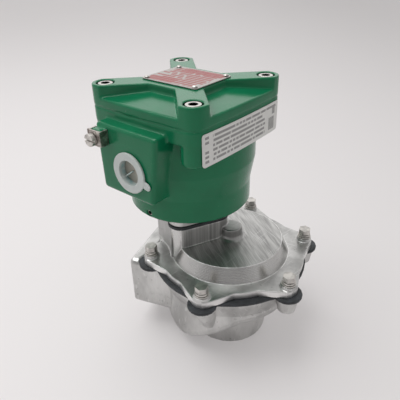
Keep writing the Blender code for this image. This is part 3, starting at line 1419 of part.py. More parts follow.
def centre_on_footprint(root):
    """Move the whole valve so that the middle of its footprint is the origin."""
    bpy.context.view_layer.update()
    depsgraph = bpy.context.evaluated_depsgraph_get()
    points = []
    for obj in collection("pulse_valve").objects:
        if obj.type != "MESH":
            continue
        evaluated = obj.evaluated_get(depsgraph)
        points += [evaluated.matrix_world @ vertex.co for vertex in evaluated.data.vertices]
    for axis in (0, 1):
        values = [point[axis] for point in points]
        root.location[axis] = -0.5 * (min(values) + max(values))
    bpy.context.view_layer.update()


def main():
    clear_scene()
    valve = add_empty("valve_axis", (0.0, 0.0, 0.0))
    main_axis = add_empty("main_disc_axis", (0.0, 0.0, 0.0), valve)
    pilot_axis = add_empty("pilot_axis", (PILOT_X, 0.0, 0.0), valve)
    plunger_axis = add_empty("plunger_axis", (0.0, 0.0, 0.0), pilot_axis)
    housing = add_empty("housing_frame", (0.0, 0.0, HOUSING_Z), pilot_axis, HOUSING_TURN)
    plug_axis = add_empty("plug_axis", (0.0, BOX_FACE_Y, ENTRY_H), housing)
    plug_axis.rotation_euler = (0.25 * FULL_TURN, 0.0, 0.0)

    make_valve_body(valve)
    make_main_diaphragm(valve)
    make_main_disc(main_axis)
    make_bonnet(valve)
    make_bonnet_bolts(valve)
    make_pilot_stage(valve, pilot_axis)
    make_core(pilot_axis, plunger_axis)
    make_coil(housing)
    make_housing(housing)
    make_housing_fittings(housing)
    make_cover(housing)
    make_nameplate(housing)
    make_label(housing)
    make_plug(plug_axis)
    centre_on_footprint(valve)


main()
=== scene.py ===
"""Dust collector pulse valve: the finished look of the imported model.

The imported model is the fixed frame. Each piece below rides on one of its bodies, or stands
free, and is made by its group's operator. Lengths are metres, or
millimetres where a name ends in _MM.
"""

import math

import bmesh
import bpy
from mathutils import Matrix, Vector


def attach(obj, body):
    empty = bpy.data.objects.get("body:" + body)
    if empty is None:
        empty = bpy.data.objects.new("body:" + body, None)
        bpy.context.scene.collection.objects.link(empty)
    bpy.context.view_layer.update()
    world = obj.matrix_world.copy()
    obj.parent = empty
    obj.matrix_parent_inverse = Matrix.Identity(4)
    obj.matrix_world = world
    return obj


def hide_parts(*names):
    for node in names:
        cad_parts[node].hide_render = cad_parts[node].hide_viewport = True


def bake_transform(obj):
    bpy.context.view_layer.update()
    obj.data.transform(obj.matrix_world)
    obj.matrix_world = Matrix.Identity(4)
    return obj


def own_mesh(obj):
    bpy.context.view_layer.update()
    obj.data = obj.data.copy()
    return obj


bl_info = {
    "name": "Dust collector pulse valve",
    "version": (1, 0, 0),
    "blender": (4, 5, 0),
    "location": "3D View > Sidebar > Pulse valve",
    "description": "Finishes and detailed pieces of a solenoid pulse valve",
    "category": "Object",
}

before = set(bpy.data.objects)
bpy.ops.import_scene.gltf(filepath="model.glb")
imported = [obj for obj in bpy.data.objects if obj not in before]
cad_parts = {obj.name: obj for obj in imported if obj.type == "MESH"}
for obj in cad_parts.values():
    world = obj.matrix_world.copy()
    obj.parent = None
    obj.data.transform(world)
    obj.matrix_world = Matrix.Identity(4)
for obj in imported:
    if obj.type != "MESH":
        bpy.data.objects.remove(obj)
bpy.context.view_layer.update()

MM = 0.001
MM_IN_A_METRE = 1000.0

VALVE_X = 12.392 * MM
PILOT_X = -18.408 * MM
HOUSING_Z = 113.7 * MM
HOUSING_TURN = math.radians(-18.4)
FLANGE_TOP_Z = 71.1 * MM
CROWN_EDGE_Z = 82.3 * MM
CROWN_R = 39.6 * MM
DOME_R = 44.5 * MM
TURRET_X = VALVE_X + 1.4 * MM
TURRET_R = 8.1 * MM
LUG_HALF = 37.2 * MM
LUG_R = 8.8 * MM
SIDE_FLAT = LUG_HALF + LUG_R
SIDE_BULGE = 1.0 * MM
RIM_TOP_H = 71.9 * MM
COVER_LOW_H = 72.2 * MM
COVER_TOP_H = 86.0 * MM
LABEL_LOW_H = 49.4 * MM
LABEL_HIGH_H = 70.0 * MM
LABEL_LIFT = 0.62 * MM
LABEL_T = 0.4 * MM
LABEL_WRAPS = (math.radians(22.0), math.radians(12.0))
LABEL_CORNER = 2.0 * MM
ENTRY_FACE_Y = -56.0 * MM
ENTRY_H = 39.4 * MM
WEB_R = 8.5 * MM
WEB_T = 0.8 * MM
WEB_DEPTH = 3.4 * MM
RIB_L = 8.2 * MM
RIB_T = 0.8 * MM
RIB_H = 2.4 * MM
RIB_TURN = math.radians(38.0)
SET_SCREW_H = 3.5 * MM
SET_SOCKET_R = 1.3 * MM
BEAD_INSET = 0.3 * MM
BEAD_WIDTH = 1.6 * MM
BEAD_OVERLAP = 0.6 * MM
SPIGOT_R = 30.0 * MM
BOWL_R = 50.0 * MM
TUB_FOOT_R = 43.7 * MM
TUB_R = 46.8 * MM
FACET_REACH = 0.25 * MM
CLAMPED_R = 46.0 * MM
RUBBER_GRAIN = 0.6 * MM
PILOT_RUBBER_GRAIN = 0.5 * MM
PLUG_GRAIN = 0.3 * MM
WEB_EDGE = 0.15 * MM

COUNTERBORE_R_MM = 6.4
COUNTERBORE_DEPTH_MM = 8.0
SCREW_SOCKET_R_MM = 2.9
CUP_MOUTH_R_MM = 9.45
CUP_FLOOR_R_MM = 8.3
PLATE_INK_HALF_MM = 21.5
PLATE_INK_SIDE_MM = 17.0
PLATE_ROW_MM = 3.1
LABEL_FIRST_ROW_MM = 68.9
LABEL_ROW_MM = 2.95
LABEL_ROWS = 6.0
LABEL_WORDS_MM = (-32.0, 23.0)
LABEL_HEADS_MM = (-38.8, -35.6)
LABEL_TOP_ROW_MM = (24.0, 36.0)
LABEL_BARS_MM = (27.3, 34.6)
LABEL_BARS_HEIGHT_MM = (51.8, 60.4)
LABEL_BLOCK_MM = (31.5, 35.0)
LABEL_BLOCK_HEIGHT_MM = (62.2, 66.6)

BODY_COARSENESS = 1.3
BONNET_COARSENESS = 0.8
HOUSING_COARSENESS = 1.15
MOST_TRIANGLES = {
    "valve_body": 150000,
    "bonnet": 190000,
    "main_diaphragm": 90000,
    "pilot_diaphragm": 20000,
    "solenoid_housing": 170000,
    "housing_cover": 130000,
    "entry_plug": 60000,
}
BOLTS = range(1, 7)
CORNERS = range(1, 5)
SECTORS = 8
SPRINGS = (("main_spring", "main_valve_lift", 7.5 * MM),
           ("pilot_spring", "pilot_valve_lift", 1.5 * MM),
           ("plunger_spring", "plunger_lift", 1.8 * MM))
SPIGOT_PROFILE = ((SPIGOT_R, 0.6 * MM), (SPIGOT_R, 30.0 * MM))
BOWL_PROFILE = ((BOWL_R, 18.0 * MM), (BOWL_R, 46.0 * MM))
DOME_PROFILE = ((DOME_R, FLANGE_TOP_Z), (CROWN_R, CROWN_EDGE_Z))
TUB_PROFILE = ((TUB_FOOT_R, HOUSING_Z + 1.4 * MM), (TUB_FOOT_R, HOUSING_Z + 17.0 * MM),
               (TUB_R, HOUSING_Z + 34.5 * MM), (TUB_R, HOUSING_Z + 62.0 * MM))


class Value:
    """A number socket, on which Python's arithmetic adds Math nodes."""

    def __init__(self, shade, socket):
        self.shade = shade
        self.socket = socket

    def step(self, operation, first, second=0.0):
        node = self.shade.add("ShaderNodeMath", {"operation": operation}, {0: first, 1: second})
        return Value(self.shade, node.outputs[0])

    def __add__(self, other):
        return self.step("ADD", self, other)

    def __radd__(self, other):
        return self.step("ADD", other, self)

    def __sub__(self, other):
        return self.step("SUBTRACT", self, other)

    def __rsub__(self, other):
        return self.step("SUBTRACT", other, self)

    def __mul__(self, other):
        return self.step("MULTIPLY", self, other)

    def __rmul__(self, other):
        return self.step("MULTIPLY", other, self)

    def __truediv__(self, other):
        return self.step("DIVIDE", self, other)

    def __rtruediv__(self, other):
        return self.step("DIVIDE", other, self)

    def __gt__(self, other):
        return self.step("GREATER_THAN", self, other)

    def __lt__(self, other):
        return self.step("LESS_THAN", self, other)

    def __abs__(self):
        return self.step("ABSOLUTE", self)

    def __floor__(self):
        return self.step("FLOOR", self)

    def diagonal(self, other):
        """The length of the diagonal of two values."""
        return self.step("SQRT", self * self + other * other)

    def fraction(self):
        return self.step("FRACT", self)

    def wave(self):
        return self.step("SINE", self)

    def larger(self, other):
        return self.step("MAXIMUM", self, other)

    def between(self, low, high):
        """1 where the value lies between low and high, and 0 elsewhere."""
        return (self > low) * (self < high)

    def rise(self, start, end):
        """0 before start, 1 after end, and a smooth climb between them."""
        node = self.shade.add("ShaderNodeMapRange", {"interpolation_type": "SMOOTHSTEP"},
                              {"Value": self, "From Min": start, "From Max": end})
        return Value(self.shade, node.outputs[0])


class Shade:
    """A node tree being made, with the one method that adds its nodes."""

    def __init__(self, tree):
        self.tree = tree

    def add(self, kind, settings=None, sockets=None):
        node = self.tree.nodes.new(kind)
        for key, value in (settings or {}).items():
            setattr(node, key, value)
        for key, value in (sockets or {}).items():
            self.feed(node.inputs[key], value)
        return node

    def feed(self, socket, value):
        if isinstance(value, Value):
            value = value.socket
        if isinstance(value, bpy.types.NodeSocket):
            self.tree.links.new(value, socket)
        elif socket.type == "RGBA":
            socket.default_value = (*value, 1.0)
        else:
            socket.default_value = value

    def parts(self, vector):
        """The three numbers of a vector."""
        node = self.add("ShaderNodeSeparateXYZ", None, {0: vector})
        return [Value(self, output) for output in node.outputs]

    def joined(self, x, y, z):
        return self.add("ShaderNodeCombineXYZ", None, {0: x, 1: y, 2: z}).outputs[0]

    def mix(self, first, second, factor):
        """A colour between two colours."""
        node = self.add("ShaderNodeMix", {"data_type": "RGBA"},
                        {0: factor, 6: first, 7: second})
        return node.outputs[2]

    def noise(self, place, scale, detail=2.0, roughness=0.5):
        node = self.add("ShaderNodeTexNoise", None,
                        {"Vector": place, "Scale": scale, "Detail": detail,
                         "Roughness": roughness})
        return Value(self, node.outputs[0])

    def random(self, number):
        """A steady random number for each whole number."""
        node = self.add("ShaderNodeTexWhiteNoise", {"noise_dimensions": "1D"}, {"W": number})
        return Value(self, node.outputs[0])


class Finish(Shade):
    """A material on the principled shader, placed by the object's own coordinates."""

    def __init__(self, name, metallic=0.0, constants=None):
        self.material = bpy.data.materials.new(name)
        self.material.use_nodes = True
        super().__init__(self.material.node_tree)
        self.shader = self.tree.nodes["Principled BSDF"]
        self.feed(self.shader.inputs["Metallic"], metallic)
        for key, value in (constants or {}).items():
            self.feed(self.shader.inputs[key], value)
        self.place = self.add("ShaderNodeTexCoord").outputs["Object"]

    def millimetres(self):
        """x, y and z in millimetres."""
        return [part * MM_IN_A_METRE for part in self.parts(self.place)]

    def housing_axes(self):
        """Across, along and above the housing, in millimetres from its foot's centre."""
        x, y, z = self.parts(self.place)
        cosine, sine = math.cos(HOUSING_TURN), math.sin(HOUSING_TURN)
        aside = x - PILOT_X
        across = (aside * cosine + y * sine) * MM_IN_A_METRE
        along = (y * cosine - aside * sine) * MM_IN_A_METRE
        return across, along, (z - HOUSING_Z) * MM_IN_A_METRE

    def stretched(self, scale, turn=0.0):
        """The place, turned about Z and then scaled along each axis."""
        turned = self.add("ShaderNodeVectorRotate", {"rotation_type": "Z_AXIS"},
                          {"Vector": self.place, "Angle": turn})
        scaled = self.add("ShaderNodeVectorMath", {"operation": "MULTIPLY"},
                          {0: turned.outputs[0], 1: scale})
        return scaled.outputs[0]

    def colour(self, value):
        self.feed(self.shader.inputs["Base Color"], value)

    def roughness(self, value):
        self.feed(self.shader.inputs["Roughness"], value)

    def from_cover_screw(self):
        """Distance from the nearest cover screw's axis, and height above the housing's foot."""
        across, along, above = self.housing_axes()
        aside = abs(across) - LUG_HALF / MM
        beside = abs(along) - LUG_HALF / MM
        return aside.diagonal(beside), above

    def relief(self, *layers):
        """Bumps from (height, depth in metres, strength), each on the one before it."""
        normal = None
        for height, depth, strength in layers:
            sockets = {"Height": height, "Distance": depth, "Strength": strength}
            if normal is not None:
                sockets["Normal"] = normal
            normal = self.add("ShaderNodeBump", None, sockets).outputs[0]
        self.feed(self.shader.inputs["Normal"], normal)


def shade_of(colour, share):
    """A colour made darker or lighter."""
    return [min(1.0, part * share) for part in colour]


def shades_of(colour, low, high):
    """A darker and a lighter version of a colour."""
    return shade_of(colour, low), shade_of(colour, high)


class ValveSizes(bpy.types.PropertyGroup):
    """The sizes that a user would change."""

    enamel_grain: bpy.props.FloatProperty(
        name="Enamelled surface", description="Cell size of the enamelled castings' surface",
        default=0.62 * MM, min=0.4 * MM, unit="LENGTH", precision=5)
    enamel_rounds: bpy.props.IntProperty(
        name="Enamel softness", description="Smoothing passes over the enamelled castings",
        default=8, min=0, max=20)
    cast_grain: bpy.props.FloatProperty(
        name="Bare cast surface", description="Cell size of the bare castings' surface",
        default=0.55 * MM, min=0.4 * MM, unit="LENGTH", precision=5)
    cast_rounds: bpy.props.IntProperty(
        name="Cast softness", description="Smoothing passes over the bare castings",
        default=1, min=0, max=20)
    rubber_swell: bpy.props.FloatProperty(
        name="Rubber swell", description="How far the squeezed rubber bulges",
        default=0.22 * MM, min=0.0, unit="LENGTH", precision=5)
    edge_round: bpy.props.FloatProperty(
        name="Small edges", description="Rounding of the fasteners' edges",
        default=0.25 * MM, min=0.0, unit="LENGTH", precision=5)
    plate_edge: bpy.props.FloatProperty(
        name="Sheet edges", description="Rounding of thin sheet metal",
        default=0.12 * MM, min=0.0, unit="LENGTH", precision=5)
    floor_radius: bpy.props.FloatProperty(
        name="Floor", description="Radius of the studio floor",
        default=6.0, min=1.0, unit="LENGTH")


class ValveColours(bpy.types.PropertyGroup):
    """The colours that a user would change."""

    enamel: bpy.props.FloatVectorProperty(
        name="Enamel", description="Green of the housing and its cover",
        default=(0.005, 0.160, 0.068), min=0.0, max=1.0, subtype="COLOR")
    casting: bpy.props.FloatVectorProperty(
        name="Casting", description="Bare cast aluminium",
        default=(0.56, 0.56, 0.55), min=0.0, max=1.0, subtype="COLOR")
    rubber: bpy.props.FloatVectorProperty(
        name="Rubber", description="Diaphragms and seals",
        default=(0.025, 0.029, 0.033), min=0.0, max=1.0, subtype="COLOR")
    steel: bpy.props.FloatVectorProperty(
        name="Steel", description="Bolts, screws and washers",
        default=(0.62, 0.60, 0.57), min=0.0, max=1.0, subtype="COLOR")
    moulding: bpy.props.FloatVectorProperty(
        name="Moulding", description="Coil and terminal block",
        default=(0.03, 0.03, 0.032), min=0.0, max=1.0, subtype="COLOR")
    plate: bpy.props.FloatVectorProperty(
        name="Nameplate", description="Bare metal of the nameplate",
        default=(0.43, 0.41, 0.39), min=0.0, max=1.0, subtype="COLOR")
    plate_print: bpy.props.FloatVectorProperty(
        name="Nameplate print", description="Red bars on the nameplate",
        default=(0.36, 0.11, 0.11), min=0.0, max=1.0, subtype="COLOR")
    label: bpy.props.FloatVectorProperty(
        name="Label", description="Film of the side label",
        default=(0.74, 0.74, 0.72), min=0.0, max=1.0, subtype="COLOR")
    label_print: bpy.props.FloatVectorProperty(
        name="Label print", description="Grey bars on the side label",
        default=(0.13, 0.13, 0.13), min=0.0, max=1.0, subtype="COLOR")
    plug: bpy.props.FloatVectorProperty(
        name="Dust plug", description="Milky plastic of the dust plug",
        default=(0.60, 0.65, 0.63), min=0.0, max=1.0, subtype="COLOR")
    floor: bpy.props.FloatVectorProperty(
        name="Floor", description="Floor of the studio",
        default=(0.80, 0.775, 0.775), min=0.0, max=1.0, subtype="COLOR")


def sizes():
    return bpy.context.scene.valve_sizes


def colours():
    return bpy.context.scene.valve_colours


def made_once(make):
    """Return the finish's material, and make it the first time it is asked for."""
    made = {}

    def material():
        if make.__name__ not in made:
            made[make.__name__] = make()
        return made[make.__name__]

    return material


@made_once
def green_enamel():
    """Glossy enamel: soft unevenness, fine orange peel, a few specks, and painted shade in the
    screw wells.
    """
    finish = Finish("green_enamel", constants={"Coat Weight": 0.08, "Coat Roughness": 0.06,
                                               "Specular IOR Level": 0.27})
    deep, fresh = shades_of(colours().enamel, 0.93, 1.06)
    cloud = finish.noise(finish.place, 45.0, 3.0)
    speck = finish.noise(finish.place, 900.0, 1.0).rise(0.76, 0.82)
    tone = finish.mix(deep, fresh, cloud.rise(0.3, 0.7))
    tone = finish.mix(tone, (0.10, 0.22, 0.15), speck * 0.4)
    past_screw, above = finish.from_cover_screw()
    # Painted shade: the enamel down in the cover screws' wells is darkened nearly to black.
    painted_well_shade = above.between(COVER_TOP_H / MM - COUNTERBORE_DEPTH_MM, COVER_TOP_H / MM - 0.7)
    painted_well_shade = painted_well_shade * (1.0 - past_screw.rise(COUNTERBORE_R_MM - 0.2, COUNTERBORE_R_MM + 0.2))
    finish.colour(finish.mix(tone, (0.002, 0.012, 0.006), painted_well_shade * 0.9))
    finish.roughness(cloud * 0.12 + speck * 0.2 + 0.16)
    finish.relief((finish.noise(finish.place, 110.0, 2.0), 0.6 * MM, 0.22),
                  (finish.noise(finish.place, 620.0, 2.0), 0.12 * MM, 0.16))
    return finish.material


def streaks(finish, fineness, turn, detail):
    """Fine lines across the crown, turned about Z by some degrees."""
    place = finish.stretched((*fineness, 1.0), math.radians(turn))
    return finish.noise(place, 1.0, detail)


def cast_layers(finish):
    """Tone, roughness and relief of a die-cast skin: flow marks, grain, pores and scuffs."""
    flow = finish.noise(finish.stretched((40.0, 40.0, 16.0)), 1.0, 4.0, 0.6)
    grain = finish.noise(finish.place, 1300.0, 3.0, 0.6)
    pores = finish.noise(finish.place, 420.0, 2.0).rise(0.66, 0.74)
    dull, bright = shades_of(colours().casting, 0.68, 1.2)
    tone = finish.mix(dull, bright, flow.rise(0.3, 0.7))
    tone = finish.mix(tone, shade_of(colours().casting, 0.45), pores * 0.6)
    along = finish.noise(finish.stretched((900.0, 50.0, 80.0), math.radians(25.0)), 1.0, 1.0)
    across = finish.noise(finish.stretched((60.0, 800.0, 90.0), math.radians(10.0)), 1.0, 1.0)
    scuffs = along.rise(0.66, 0.72).larger(across.rise(0.67, 0.73))
    tone = finish.mix(tone, (0.85, 0.85, 0.84), scuffs * 0.3)
    roughness = 0.23 + flow * 0.16 + grain * 0.1
    relief = [(flow, 0.5 * MM, 0.2), (grain - pores * 0.8, 0.16 * MM, 0.3)]
    return tone, roughness, relief


@made_once
def cast_aluminium():
    """The bare skin of the body casting."""
    finish = Finish("cast_aluminium", metallic=1.0)
    tone, roughness, relief = cast_layers(finish)
    finish.colour(tone)
    finish.roughness(roughness)
    finish.relief(*relief)
    return finish.material


def brushed_tone(finish, streak):
    """The crown's tone: streaks and smears one way, and a few scratches that cross them."""
    smear = streaks(finish, (240.0, 40.0), -38.0, 2.0)
    scratch = streaks(finish, (900.0, 24.0), -52.0, 1.0).rise(0.68, 0.74)
    crossed = streaks(finish, (1000.0, 30.0), 20.0, 1.0).rise(0.69, 0.75)
    dark, pale = shades_of(colours().casting, 0.52, 1.08)
    tone = finish.mix(dark, pale, (streak * 0.6 + smear * 0.4).rise(0.33, 0.67))
    return finish.mix(tone, (0.85, 0.85, 0.85), scratch.larger(crossed * 0.8) * 0.5)


@made_once
def bonnet_aluminium():
    """The bonnet: cast skin, filed flange, turned slope, brushed crown, painted shade under the
    housing, bright edges of wear and painted highlight.
    """
    finish = Finish("bonnet_aluminium", metallic=1.0)
    tone, roughness, relief = cast_layers(finish)
    flange_top, crown_edge = FLANGE_TOP_Z / MM, CROWN_EDGE_Z / MM
    crown_r, dome_r, turret_r = CROWN_R / MM, DOME_R / MM, TURRET_R / MM
    x, y, z = finish.millimetres()
    radius = (x - VALVE_X / MM).diagonal(y)
    past_turret = (x - TURRET_X / MM).diagonal(y)
    crown = z.rise(crown_edge - 0.35, crown_edge - 0.05)
    crown = crown * (1.0 - radius.rise(crown_r, crown_r + 0.6))
    crown = crown * past_turret.rise(turret_r + 1.0, turret_r + 2.0)
    slope = z.rise(flange_top + 0.4, flange_top + 0.9)
    slope = slope * radius.between(crown_r - 0.3, dome_r + 0.2) * (1.0 - crown)
    # Painted shade: the pilot block and turret, under the housing, are darkened.
    painted_shade_under_housing = z.rise(flange_top + 2.0, flange_top + 4.0) * (1.0 - slope) * (1.0 - crown)
    filed = radius.rise(dome_r + 2.5, dome_r + 4.0)
    filed = filed * (1.0 - z.rise(flange_top - 0.7, flange_top - 0.2))
    # Bright bands at the crown's rim and the dome's foot: partly worn edges, partly painted
    # highlight.
    rim = radius.between(crown_r - 0.45, crown_r + 0.35) * (z > crown_edge - 0.6)
    foot = radius.between(dome_r - 0.1, dome_r + 0.5) * (z < flange_top + 0.6)
    wear = finish.noise(finish.place, 180.0, 2.0).rise(0.35, 0.65)
    streak = streaks(finish, (2400.0, 60.0), -38.0, 3.0)
    turned = finish.mix(*shades_of(colours().casting, 0.95, 1.25),
                        finish.noise(finish.joined(radius, z, 0.0), 3.0, 2.0))
    tone = finish.mix(tone, turned, slope * 0.8)
    tone = finish.mix(tone, (0.86, 0.86, 0.85), filed * 0.75)
    # Painted shade under the housing.
    tone = finish.mix(tone, shade_of(colours().casting, 0.5), painted_shade_under_housing * 0.55)
    tone = finish.mix(tone, brushed_tone(finish, streak), crown)
    # Worn edges and painted highlight on the rim and foot bands.
    finish.colour(finish.mix(tone, (0.95, 0.95, 0.94), rim.larger(foot) * (0.2 + wear * 0.55)))
    rough = roughness * (1.0 - crown) * (1.0 - slope)
    finish.roughness(rough + crown * (streak * 0.22 + 0.26) + slope * 0.24)
    lathe = (radius * 14.0).wave() * slope * 0.25
    marks = (streak - 0.5) * crown * 0.7 + lathe
    relief.append((marks, 0.08 * MM, 0.35))
    finish.relief(*relief)
    return finish.material


@made_once
def black_rubber():
    """Matt moulded rubber with a dusty bloom."""
    finish = Finish("black_rubber")
    bloom = finish.noise(finish.place, 160.0, 4.0)
    dark, dusty = shades_of(colours().rubber, 0.8, 1.9)
    finish.colour(finish.mix(dark, dusty, bloom.rise(0.4, 0.75)))
    finish.roughness(0.42 + bloom * 0.25)
    finish.relief((finish.noise(finish.place, 1500.0, 2.0), 0.1 * MM, 0.3))
    return finish.material


def steel(name, tint, roughness, turned_marks):
    """Plated or stainless steel with fine marks and finger-soft patches."""
    finish = Finish(name, metallic=1.0)
    patch = finish.noise(finish.place, 210.0, 3.0)
    fine = finish.noise(finish.stretched((300.0, 300.0, 3800.0)), 1.0, 2.0)
    low, high = shades_of(tint, 0.72, 1.12)
    finish.colour(finish.mix(low, high, patch.rise(0.32, 0.68)))
    finish.roughness(roughness + patch * 0.12 + fine * 0.06)
    finish.relief((fine, 0.05 * MM, turned_marks))
    return finish.material


@made_once
def bright_steel():
    return steel("bright_steel", colours().steel, 0.34, 0.3)


@made_once
def socket_steel():
    """Bright screw heads with painted shade in their sockets."""
    finish = Finish("socket_steel", metallic=1.0)
    past_screw = finish.from_cover_screw()[0]
    patch = finish.noise(finish.place, 400.0, 3.0)
    tone = finish.mix(*shades_of(colours().steel, 0.5, 1.1), patch)
    rim = past_screw.rise(SCREW_SOCKET_R_MM - 0.15, SCREW_SOCKET_R_MM + 0.15)
    # Painted shade: the socket inside its rim is near black.
    finish.colour(finish.mix((0.02, 0.02, 0.02), tone, rim))
    finish.roughness(0.16 + patch * 0.16)
    finish.relief((patch, 0.05 * MM, 0.3))
    return finish.material


@made_once
def grub_steel():
    """The set screw: a bright rim round a socket of painted shade."""
    finish = Finish("grub_steel", metallic=1.0)
    across, along, above = finish.housing_axes()
    radius = across.diagonal(above - SET_SCREW_H / MM)
    patch = finish.noise(finish.place, 500.0, 2.0)
    tone = finish.mix(*shades_of(colours().steel, 0.6, 1.0), patch)
    rim = radius.rise(SET_SOCKET_R / MM, SET_SOCKET_R / MM + 0.3)
    # Painted shade: the socket inside the rim is near black.
    finish.colour(finish.mix((0.01, 0.01, 0.01), tone, rim))
    finish.roughness(0.25 + patch * 0.15)
    return finish.material


@made_once
def zinc_steel():
    return steel("zinc_steel", shade_of(colours().steel, 0.78), 0.28, 0.35)


@made_once
def worn_steel():
    """The clamp's steel, browned in patches."""
    finish = Finish("worn_steel", metallic=1.0)
    patch = finish.noise(finish.place, 260.0, 4.0, 0.6)
    finish.colour(finish.mix((0.20, 0.165, 0.15), (0.55, 0.52, 0.49), patch.rise(0.38, 0.62)))
    finish.roughness(0.26 + patch * 0.2)
    finish.relief((finish.noise(finish.place, 1400.0, 2.0), 0.08 * MM, 0.3))
    return finish.material


@made_once
def black_moulding():
    """Moulded resin with a fine spark-eroded grain."""
    finish = Finish("black_moulding")
    grain = finish.noise(finish.place, 1800.0, 2.0)
    dark, pale = shades_of(colours().moulding, 0.85, 1.4)
    finish.colour(finish.mix(dark, pale, grain))
    finish.roughness(0.36 + grain * 0.2)
    finish.relief((grain, 0.1 * MM, 0.3))
    return finish.material


def bar_row(finish, along, row, pitch, gap):
    """Bars of random length along a row, broken like words."""
    cell = along / pitch + row * 7.31
    broken = finish.random(math.floor(cell) + row * 31.0) > gap
    return broken.larger(cell.fraction() < 0.72)


@made_once
def nameplate_print():
    """Satin plate: rows of red bars, fuller bands at two corners, and bare margins."""
    finish = Finish("nameplate_print", metallic=0.75)
    across, along = finish.housing_axes()[:2]
    line = along / PLATE_ROW_MM + 20.0
    row = math.floor(line)
    ink = line.fraction().between(0.1, 0.78) * bar_row(finish, across, row, 6.4, 0.16)
    start = finish.random(row) * 9.0 - PLATE_INK_HALF_MM
    end = PLATE_INK_HALF_MM - finish.random(row + 9.0) * 4.0
    ink = ink * (across > start) * (across < end)
    front_band = along.between(-PLATE_INK_SIDE_MM, -8.5) * across.between(-PLATE_INK_HALF_MM, 1.0)
    back_band = along.between(8.5, 16.6) * across.between(-12.0, PLATE_INK_HALF_MM)
    seam = 1.0 - line.fraction().between(0.88, 0.97)
    ink = ink.larger((front_band + back_band) * seam) * (abs(along) < PLATE_INK_SIDE_MM)
    wear = finish.noise(finish.place, 500.0, 3.0)
    ink = ink * (0.7 + wear * 0.45)
    satin = finish.noise(finish.stretched((60.0, 2400.0, 60.0), -HOUSING_TURN), 1.0, 2.0)
    metal = finish.mix(*shades_of(colours().plate, 0.8, 1.1), satin)
    finish.colour(finish.mix(metal, colours().plate_print, ink))
    finish.roughness(0.34 + satin * 0.16 + ink * 0.1)
    finish.relief((satin, 0.03 * MM, 0.25), (ink, 0.03 * MM, 0.4))
    return finish.material


@made_once
def label_print():
    """White film: six rows of grey bars, a column of short bars, and upright bars at one end."""
    finish = Finish("label_print", constants={"Coat Weight": 0.15})
    along, above = finish.housing_axes()[1:]
    line = (LABEL_FIRST_ROW_MM - above) / LABEL_ROW_MM
    row = math.floor(line)
    inside = line.between(0.0, LABEL_ROWS) * line.fraction().between(0.24, 0.78)
    words = bar_row(finish, along, row, 3.4, 0.42) * along.between(*LABEL_WORDS_MM)
    words = words * (along < 19.0 + finish.random(row + 3.0) * 6.0)
    heads = along.between(*LABEL_HEADS_MM) * (abs(line - 2.5) > 0.5)
    top_row = along.between(*LABEL_TOP_ROW_MM) * (line < 1.0)
    bars = above.between(*LABEL_BARS_HEIGHT_MM) * along.between(*LABEL_BARS_MM)
    bars = bars * ((along * 1.05).fraction() < 0.68)
    block = above.between(*LABEL_BLOCK_HEIGHT_MM) * along.between(*LABEL_BLOCK_MM)
    blur = finish.noise(finish.place, 2300.0, 2.0)
    ink = inside * (words + heads + top_row) * (0.5 + blur * 0.5)
    ink = ink.larger(bars * 0.95).larger(block * (0.4 + blur * 0.6))
    film = finish.mix(*shades_of(colours().label, 0.9, 1.08),
                      finish.noise(finish.place, 120.0, 3.0))
    finish.colour(finish.mix(film, colours().label_print, ink))
    finish.roughness(0.32 + finish.noise(finish.place, 300.0, 2.0) * 0.2)
    finish.relief((finish.noise(finish.place, 240.0, 2.0), 0.1 * MM, 0.15))
    return finish.material


@made_once
def milky_plastic():
    """Soft polythene: pale flange, and painted shade that darkens the cup's wall and turns its
    floor brown.
    """
    finish = Finish("milky_plastic", constants={
        "Subsurface Weight": 0.25, "Subsurface Radius": (1.0, 1.0, 1.0),
        "Subsurface Scale": 1.2 * MM, "Transmission Weight": 0.12})
    across, along, above = finish.housing_axes()
    radius = across.diagonal(above - ENTRY_H / MM)
    face = ENTRY_FACE_Y / MM
    # Painted shade: the cup's inner wall is darkened.
    inside = (1.0 - radius.rise(CUP_MOUTH_R_MM - 0.25, CUP_MOUTH_R_MM + 0.25))
    inside = inside * along.rise(face - 0.6, face + 0.8)
    # Painted shade: the cup's floor is turned brown.
    web_face = (ENTRY_FACE_Y + WEB_DEPTH - 0.5 * WEB_T) / MM
    painted_shade_cup_floor = (1.0 - radius.rise(CUP_FLOOR_R_MM - 0.2, CUP_FLOOR_R_MM + 0.2))
    painted_shade_cup_floor = painted_shade_cup_floor * along.between(web_face - 0.1, web_face + 1.0)
    cloud = finish.noise(finish.place, 300.0, 3.0)
    pale = finish.mix(*shades_of(colours().plug, 0.92, 1.06), cloud)
    painted_shade_wall = finish.mix((0.30, 0.50, 0.50), (0.55, 0.62, 0.60), cloud.rise(0.35, 0.65))
    tone = finish.mix(pale, painted_shade_wall, inside * 0.85)
    finish.colour(finish.mix(tone, (0.42, 0.39, 0.33), painted_shade_cup_floor * 0.9))
    finish.roughness(0.24 + cloud * 0.16)
    finish.relief((finish.noise(finish.place, 700.0, 2.0), 0.08 * MM, 0.25))
    return finish.material


